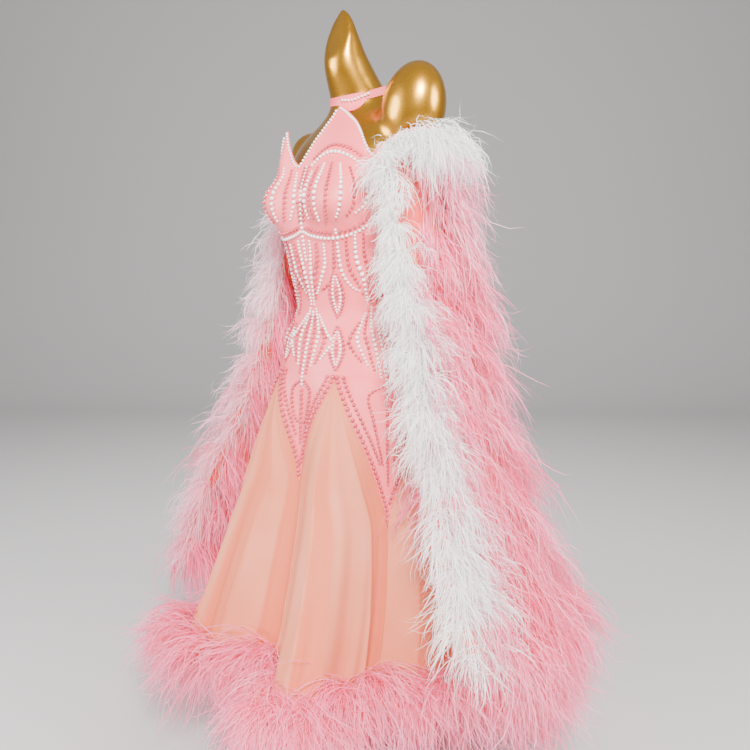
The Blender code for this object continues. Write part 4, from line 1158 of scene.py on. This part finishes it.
def whiteFeathers(name, piece):
    groups = [boaFeathers(name, piece), capFeathers(name, piece)]
    obj = ribbonPiece("white_plumes_" + name, groups, materials[piece["boaColour"]])
    return ownPiece(obj, "white_feather", "boa_feathers_" + name, "cap_feathers_" + name)


# Pearls. A strand is its colour, the pearl's radius in mm at its start, middle and end, and points
# of angle and z
pearlParts = {"gap": 1.27, "sunk": 0.7, "closest": 0.94, "scale": {"white": 1.0, "pink": 1.10},
              "girth": 0.165, "leafGirth": 0.14,  # metres to a radian at the seams and at the leaves
              "collar": (0.30, 14, 68, 4, 2.6)}  # place across, from, to and step in degrees, radius
# beside each tongue's seams: how far in, radius, number of points
seamRows = [(0.0052, 3.9, 26), (0.0205, 3.3, 16)]
# from, to, how far under the top edge, colour, radius
necklines = [(-13, 9, 0.005, "white", 2.7), (-10, 7, 0.013, "white", 2.3), (13, 86, 0.005, "white", 2.7),
             (88, 180, 0.006, "pink", 2.8), (-180, -52, 0.006, "pink", 2.8),
             (-51, -35.5, 0.005, "white", 2.3), (-32.5, -15, 0.005, "white", 2.5)]


def smoothPath(points, steps=16):
    points = np.array(points, float)
    if len(points) == 2:
        return points[0] + (points[1] - points[0]) * np.linspace(0, 1, steps)[:, None]
    padded = np.concatenate([[2 * points[0] - points[1]], points, [2 * points[-1] - points[-2]]])
    at = np.linspace(0, len(points) - 1, steps * (len(points) - 1))
    i = np.minimum(at.astype(int), len(points) - 2)
    t = (at - i)[:, None]
    a, b, c, d = padded[i], padded[i + 1], padded[i + 2], padded[i + 3]
    return splinePoint(a, b, c, d, t)


def pearlsAlong(surface, points, radii):
    path = smoothPath(points)
    first, second = np.radians(path[:, 0]), path[:, 1]
    place = surface(first, second)
    length = np.concatenate([[0], np.cumsum(np.linalg.norm(np.diff(place, axis=0), axis=1))])
    found = []
    at = 0.0
    while at <= length[-1]:
        radius = np.interp(at / max(length[-1], 1e-6), [0, 0.5, 1], radii) / 1000
        found.append((np.interp(at, length, first), np.interp(at, length, second), radius))
        at += 2 * radius * pearlParts["gap"]
    found = np.array(found)
    normal = normalOf(surface, found[:, 0], found[:, 1])
    centre = surface(found[:, 0], found[:, 1]) + normal * (found[:, 2] * pearlParts["sunk"])[:, None]
    return np.concatenate([centre, found[:, 2:3]], 1)


def edgeStrands():  # rows that follow the cut: the neckline and the tongues
    rows = []
    for low, high, drop, colour, radius in necklines:
        turns = np.arange(low, high + 0.1, 1.5)
        rows.append((colour, (radius,) * 3, [(t, readTop(np.array(t))[0] - drop) for t in turns]))
    for k, (_, tip, _) in enumerate(dress["tongues"]):
        for side in (-1, 1):
            z = np.linspace(dress["apexZ"] + 0.004, tip + 0.007, 26)
            half = np.degrees(tongueHalf(k, z))
            centre = np.degrees(valleyAngle(k, z))
            for inset, radius, end in seamRows:
                near = np.degrees(inset / pearlParts["girth"])
                turns = centre + side * np.maximum(half - near, 0.35)
                rows.append(("pink", (radius, radius, radius * 0.8), list(zip(turns, z))[:end]))
    return rows


def cupStrands():
    rows = []
    ribs = 7
    for i in range(ribs):  # s runs from the rib by the middle to the one by the side
        s = i / (ribs - 1)
        arch = math.sin(math.pi * s)
        colour = "white" if i % 2 == 0 else "pink"
        for side in (-1, 1):
            rows.append((colour, (2.2, 4.3 if i % 2 == 0 else 3.6, 2.4), [
                (side * (13 + 48 * s), 1.136 + 0.016 * arch - 0.006 * s),
                (side * (9 + 57 * s), 1.108 + 0.006 * arch),
                (side * (9 + 56 * s), 1.078 - 0.006 * arch),
                (side * (15 + 42 * s), 1.050 - 0.008 * arch + 0.008 * s)]))
    rows.append(("white", (2.8, 3.8, 2.8),
                 [(10, 1.148), (20, 1.163), (34, 1.170), (50, 1.162), (64, 1.142)]))
    rows.append(("pink", (2.4, 3.3, 2.4),
                 [(9, 1.161), (20, 1.177), (34, 1.184), (51, 1.175), (66, 1.153)]))
    for side in (-1, 1):
        for j, colour in enumerate(("pink", "white")):
            drop = 0.0105 * j
            rows.append((colour, (3.0, 3.5, 2.6), [
                (side * 2.5, 1.038 - drop), (side * 16, 1.030 - drop), (side * 38, 1.026 - drop),
                (side * 58, 1.036 - drop), (side * 74, 1.058 - drop)]))
    for turn, low, colour in ((0, 0.975, "white"), (3.4, 1.045, "pink"), (-3.4, 1.045, "pink")):
        rows.append((colour, (2.4, 3.5, 2.6), [(turn, 1.146), (turn, 1.11), (turn, 1.07), (turn, low)]))
    return rows


# how far the strands above and below the waist start to the side: turn, then heights
flow = {
    "above": [(13, 1.010, 0.962), (25, 1.006, 0.950), (38, 1.004, 0.938), (52, 1.010, 0.930)],
    "below": [(9, 0.838, 0.760), (19, 0.832, 0.770), (30, 0.824, 0.780), (42, 0.820, 0.788)],
    "waist": 0.900,
    "waistStep": 0.0095,
}
# upright pointed leaves over the godets: how far from the front, middle, length and width
leaves = [(turn, z, length, width) for turn in (-108, -36, 36, 108, 180)
          for z, length, width in ((0.912, 0.088, 0.034), (0.812, 0.078, 0.030))]


def leafStrands(turn, z, length, width):
    rows = []
    for share, radius, colour in ((1.0, 3.2, "pink"), (0.5, 3.0, "white")):
        half = math.degrees(share * width / 2 / pearlParts["leafGirth"])
        for side in (-1, 1):
            rows.append((colour, (2.0, radius, 2.0), [
                (turn + side * (0.9 + half * math.sin(math.pi * t)),
                 z + (t - 0.5) * length * (0.55 + 0.45 * share)) for t in (0, 0.25, 0.5, 0.75, 1)]))
    rows.append(("pink", (2.0, 3.0, 2.0), [(turn, z - 0.014), (turn, z), (turn, z + 0.014)]))
    return rows


def flowStrands(middle, side, reachShare, lift, colours):  # strands that meet at the waist and part again
    rows = []
    for i, (turn, top, mid) in enumerate(flow["above"]):
        near = 2.6 + 3.1 * i
        waist = flow["waist"] + flow["waistStep"] * (i - 1)
        big = 4.8 if i == 1 else 3.8
        wide = side * turn * reachShare
        rows.append((colours[i % 2], (2.4, big, 2.2), [
            (middle + wide, top + lift), (middle + wide * 0.93, mid + 0.028),
            (middle + wide * 0.62, mid - 0.004), (middle + side * near, waist)]))
    for i, (turn, mid, low) in enumerate(flow["below"]):
        near = 2.4 + 2.9 * i
        waist = flow["waist"] - 0.012 - flow["waistStep"] * 0.6 * i
        wide = side * turn * reachShare
        rows.append((colours[(i + 1) % 2], (2.2, 3.8, 2.3), [
            (middle + side * near, waist), (middle + side * near + 0.45 * wide, waist - 0.034),
            (middle + wide, mid), (middle + wide * 0.62, low)]))
    return rows


def strands():
    rows = edgeStrands() + cupStrands()
    for leafRow in leaves:
        rows += leafStrands(*leafRow)
    for side in (-1, 1):
        rows += flowStrands(0, side, 0.74, 0.0, ("white", "pink"))
        for hand in (1, -1):
            for middle, share, lift in ((72, 0.58, 0.02), (144, 0.62, 0.0)):
                rows += flowStrands(hand * middle, side, share, lift, ("pink", "white"))
    for middle, tip, _ in dress["tongues"]:
        rows.append(("white", (2.4, 3.4, 2.6), [(middle, 0.876), (middle, 0.80), (middle, 0.735)]))
        rows.append(("pink", (3.0, 3.4, 2.2), [(middle, 0.727), (middle, 0.66), (middle, tip + 0.075)]))
        for side in (-1, 1):
            rows.append(("pink", (2.4, 3.3, 2.2), [
                (middle + side * 3, 0.745), (middle + side * 12, 0.726), (middle + side * 9, 0.680),
                (middle + side * 3.2, tip + 0.115)]))
    for i in range(4):  # across the back, under the top edge
        for side in (-1, 1):
            z = 1.082 - 0.024 * i
            rows.append(("white" if i % 2 else "pink", (2.3, 3.4, 2.3), [
                (side * 178, z - 0.024), (side * 166, z - 0.004), (side * 146, z + 0.004),
                (side * (124 - 4 * i), z - 0.010)]))
    return rows


def pearlNodes(name, material):
    group = bpy.data.node_groups.new(name, "GeometryNodeTree")
    group.interface.new_socket("Points", in_out="INPUT", socket_type="NodeSocketGeometry")
    group.interface.new_socket("Segments", in_out="INPUT", socket_type="NodeSocketInt").default_value = 8
    group.interface.new_socket("Pearls", in_out="OUTPUT", socket_type="NodeSocketGeometry")
    inside, outside = group.nodes.new("NodeGroupInput"), group.nodes.new("NodeGroupOutput")
    ball = group.nodes.new("GeometryNodeMeshUVSphere")
    ball.inputs["Radius"].default_value = 1.0
    ball.inputs["Rings"].default_value = 4
    size = node(group, "GeometryNodeInputNamedAttribute", data_type="FLOAT")
    size.inputs["Name"].default_value = "pearlRadius"
    place = group.nodes.new("GeometryNodeInstanceOnPoints")
    real = group.nodes.new("GeometryNodeRealizeInstances")
    smooth = group.nodes.new("GeometryNodeSetShadeSmooth")
    paint = group.nodes.new("GeometryNodeSetMaterial")
    paint.inputs["Material"].default_value = material
    link = group.links.new
    link(inside.outputs[0], place.inputs["Points"])
    link(inside.outputs[1], ball.inputs["Segments"])
    link(ball.outputs["Mesh"], place.inputs["Instance"])
    link(size.outputs["Attribute"], place.inputs["Scale"])
    link(place.outputs[0], real.inputs[0])
    link(real.outputs[0], smooth.inputs[0])
    link(smooth.outputs[0], paint.inputs["Geometry"])
    link(paint.outputs[0], outside.inputs[0])
    return group


def makePearls():
    groups = {"white": [], "pink": []}
    for colour, radii, points in strands():
        radii = [radius * pearlParts["scale"][colour] for radius in radii]
        groups[colour].append(pearlsAlong(bodicePoint, points, radii))
    across, low, high, step, radius = pearlParts["collar"]
    collarRow = [(turn, across) for turn in range(low, high, step)]
    groups["white"].append(pearlsAlong(collarTop, collarRow, (radius,) * 3))
    taken = []
    for colour in ("white", "pink"):
        keep = []
        for row in np.concatenate(groups[colour]):
            if taken:  # a pearl that would cut into one already sewn is left off
                near = np.array(taken)
                room = (near[:, 3] + row[3]) * pearlParts["closest"]
                if (np.linalg.norm(near[:, :3] - row[:3], axis=1) < room).any():
                    continue
            taken.append(row)
            keep.append(row)
        keep = np.array(keep)
        name = colour + "_pearls"
        mesh = bpy.data.meshes.new(name)
        mesh.from_pydata(keep[:, :3].tolist(), [], [])
        setValues(mesh, "pearlRadius", keep[:, 3])
        obj = addObject(name, mesh)
        grow = obj.modifiers.new("pearls", "NODES")
        grow.node_group = pearlNodes(name, materials[colour + "Pearl"])
        settle(obj)
        ownPiece(obj, "pink_satin")
        print(name, len(keep), "pearls")


# The studio
studio = {
    "camera": {"azimuth": 47.3, "pitch": 8.4, "roll": 0.2, "distance": 1.6, "height": 0.98, "aside": 0.047,
               "lens": 38.16},
    "world": (0.62, 0.62, 0.64),
    "worldStrength": 0.8,
    "floor": (0.48, 0.47, 0.465),
    "backdrop": (-12.0, 3.4, 1.4, 8.0, 26),  # start and end of the floor, bend, height, half width
    "aim": (0, 0, 0.75),
    # name, place, size, power, colour
    "lamps": [("key", (2.2, -1.6, 2.5), 0.8, 300, (1.0, 0.98, 0.95)),
              ("fill", (-1.2, -2.3, 1.5), 1.5, 105, (0.98, 0.98, 1.0)),
              ("side", (2.4, 0.9, 1.6), 1.2, 75, (1.0, 1.0, 1.0)),
              ("rim", (-1.6, 1.6, 2.6), 1.6, 40, (1.0, 1.0, 1.0))],
}


def makeWorld():
    world = bpy.data.worlds.new("studio")
    world.use_nodes = True
    back = world.node_tree.nodes["Background"]
    back.inputs["Color"].default_value = (*studio["world"], 1)
    back.inputs["Strength"].default_value = studio["worldStrength"]
    bpy.context.scene.world = world


def viewAxes():  # away from the camera along the floor, and across the picture
    azimuth = math.radians(studio["camera"]["azimuth"])
    return (np.array([-math.sin(azimuth), math.cos(azimuth), 0]),
            np.array([math.cos(azimuth), math.sin(azimuth), 0]))


def makeFloor():
    material, tree, shader = newMaterial("floor")
    shader.inputs["Base Color"].default_value = (*studio["floor"], 1)
    shader.inputs["Roughness"].default_value = 0.8
    near, far, bend, height, half = studio["backdrop"]
    turn = np.linspace(0, math.pi / 2, 17)
    profile = [(near, 0.0)] + [(far + bend * math.sin(t), bend * (1 - math.cos(t))) for t in turn]
    profile.append((far + bend, height))
    away, across = viewAxes()
    verts, faces = [], []
    for i, (distance, z) in enumerate(profile):
        for side in (-half, half):
            verts.append(away * distance + across * side + [0, 0, z])
        if i:
            faces.append((2 * i - 2, 2 * i - 1, 2 * i + 1, 2 * i))
    makeMesh("floor", verts, faces, [material])


def makeLamps():
    for name, place, size, power, colour in studio["lamps"]:
        lamp = bpy.data.lights.new(name, "AREA")
        lamp.shape = "DISK"
        lamp.size = size
        lamp.energy = power
        lamp.color = colour
        obj = addObject(name, lamp)
        obj.location = place
        aim = Vector(studio["aim"]) - Vector(place)
        obj.rotation_euler = aim.to_track_quat("-Z", "Y").to_euler()
        obj.visible_glossy = name != "rim"


def makeCamera():
    view = studio["camera"]
    away, across = viewAxes()
    pitch, roll = math.radians(view["pitch"]), math.radians(view["roll"])
    back = Vector((*(-away[:2] * math.cos(pitch)), math.sin(pitch)))
    right = Vector(across)
    up = back.cross(right)
    right, up = right * math.cos(roll) + up * math.sin(roll), up * math.cos(roll) - right * math.sin(roll)
    camera = addObject("camera", bpy.data.cameras.new("camera"))
    camera.data.sensor_width = 36
    camera.data.lens = view["lens"]
    place = -away * view["distance"] + across * view["aside"] + [0, 0, view["height"]]
    camera.matrix_world = Matrix([[right[i], up[i], back[i], place[i]] for i in range(3)] + [[0, 0, 0, 1]])
    bpy.context.scene.camera = camera


print("form")
makeForm()
print("bodice")
bodice = makeBodice()
collar = makeCollar()
print("godets")
chiffon = makeGodets()
print("floats")
for sideName, piece in floatSides.items():
    piece["band"] = bandCurve(piece)
    rows = piece["rows"]
    piece["table"] = curveThrough([(i / (len(rows) - 1), *row) for i, row in enumerate(rows)])
    band = makeBand(sideName, piece)
    cloth = makeFloat(sideName, piece)
    floatFeathers(sideName, piece)
    whiteFeathers(sideName, piece)
print("hem")
hemFeathers()
print("pearls")
makePearls()
print("stand")
steel = steelMaterial()
for name in ("stand_base", "stand_pole"):
    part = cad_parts[name]
    part.data.materials.clear()
    part.data.materials.append(steel)
print("studio")
makeWorld()
makeFloor()
makeLamps()
makeCamera()
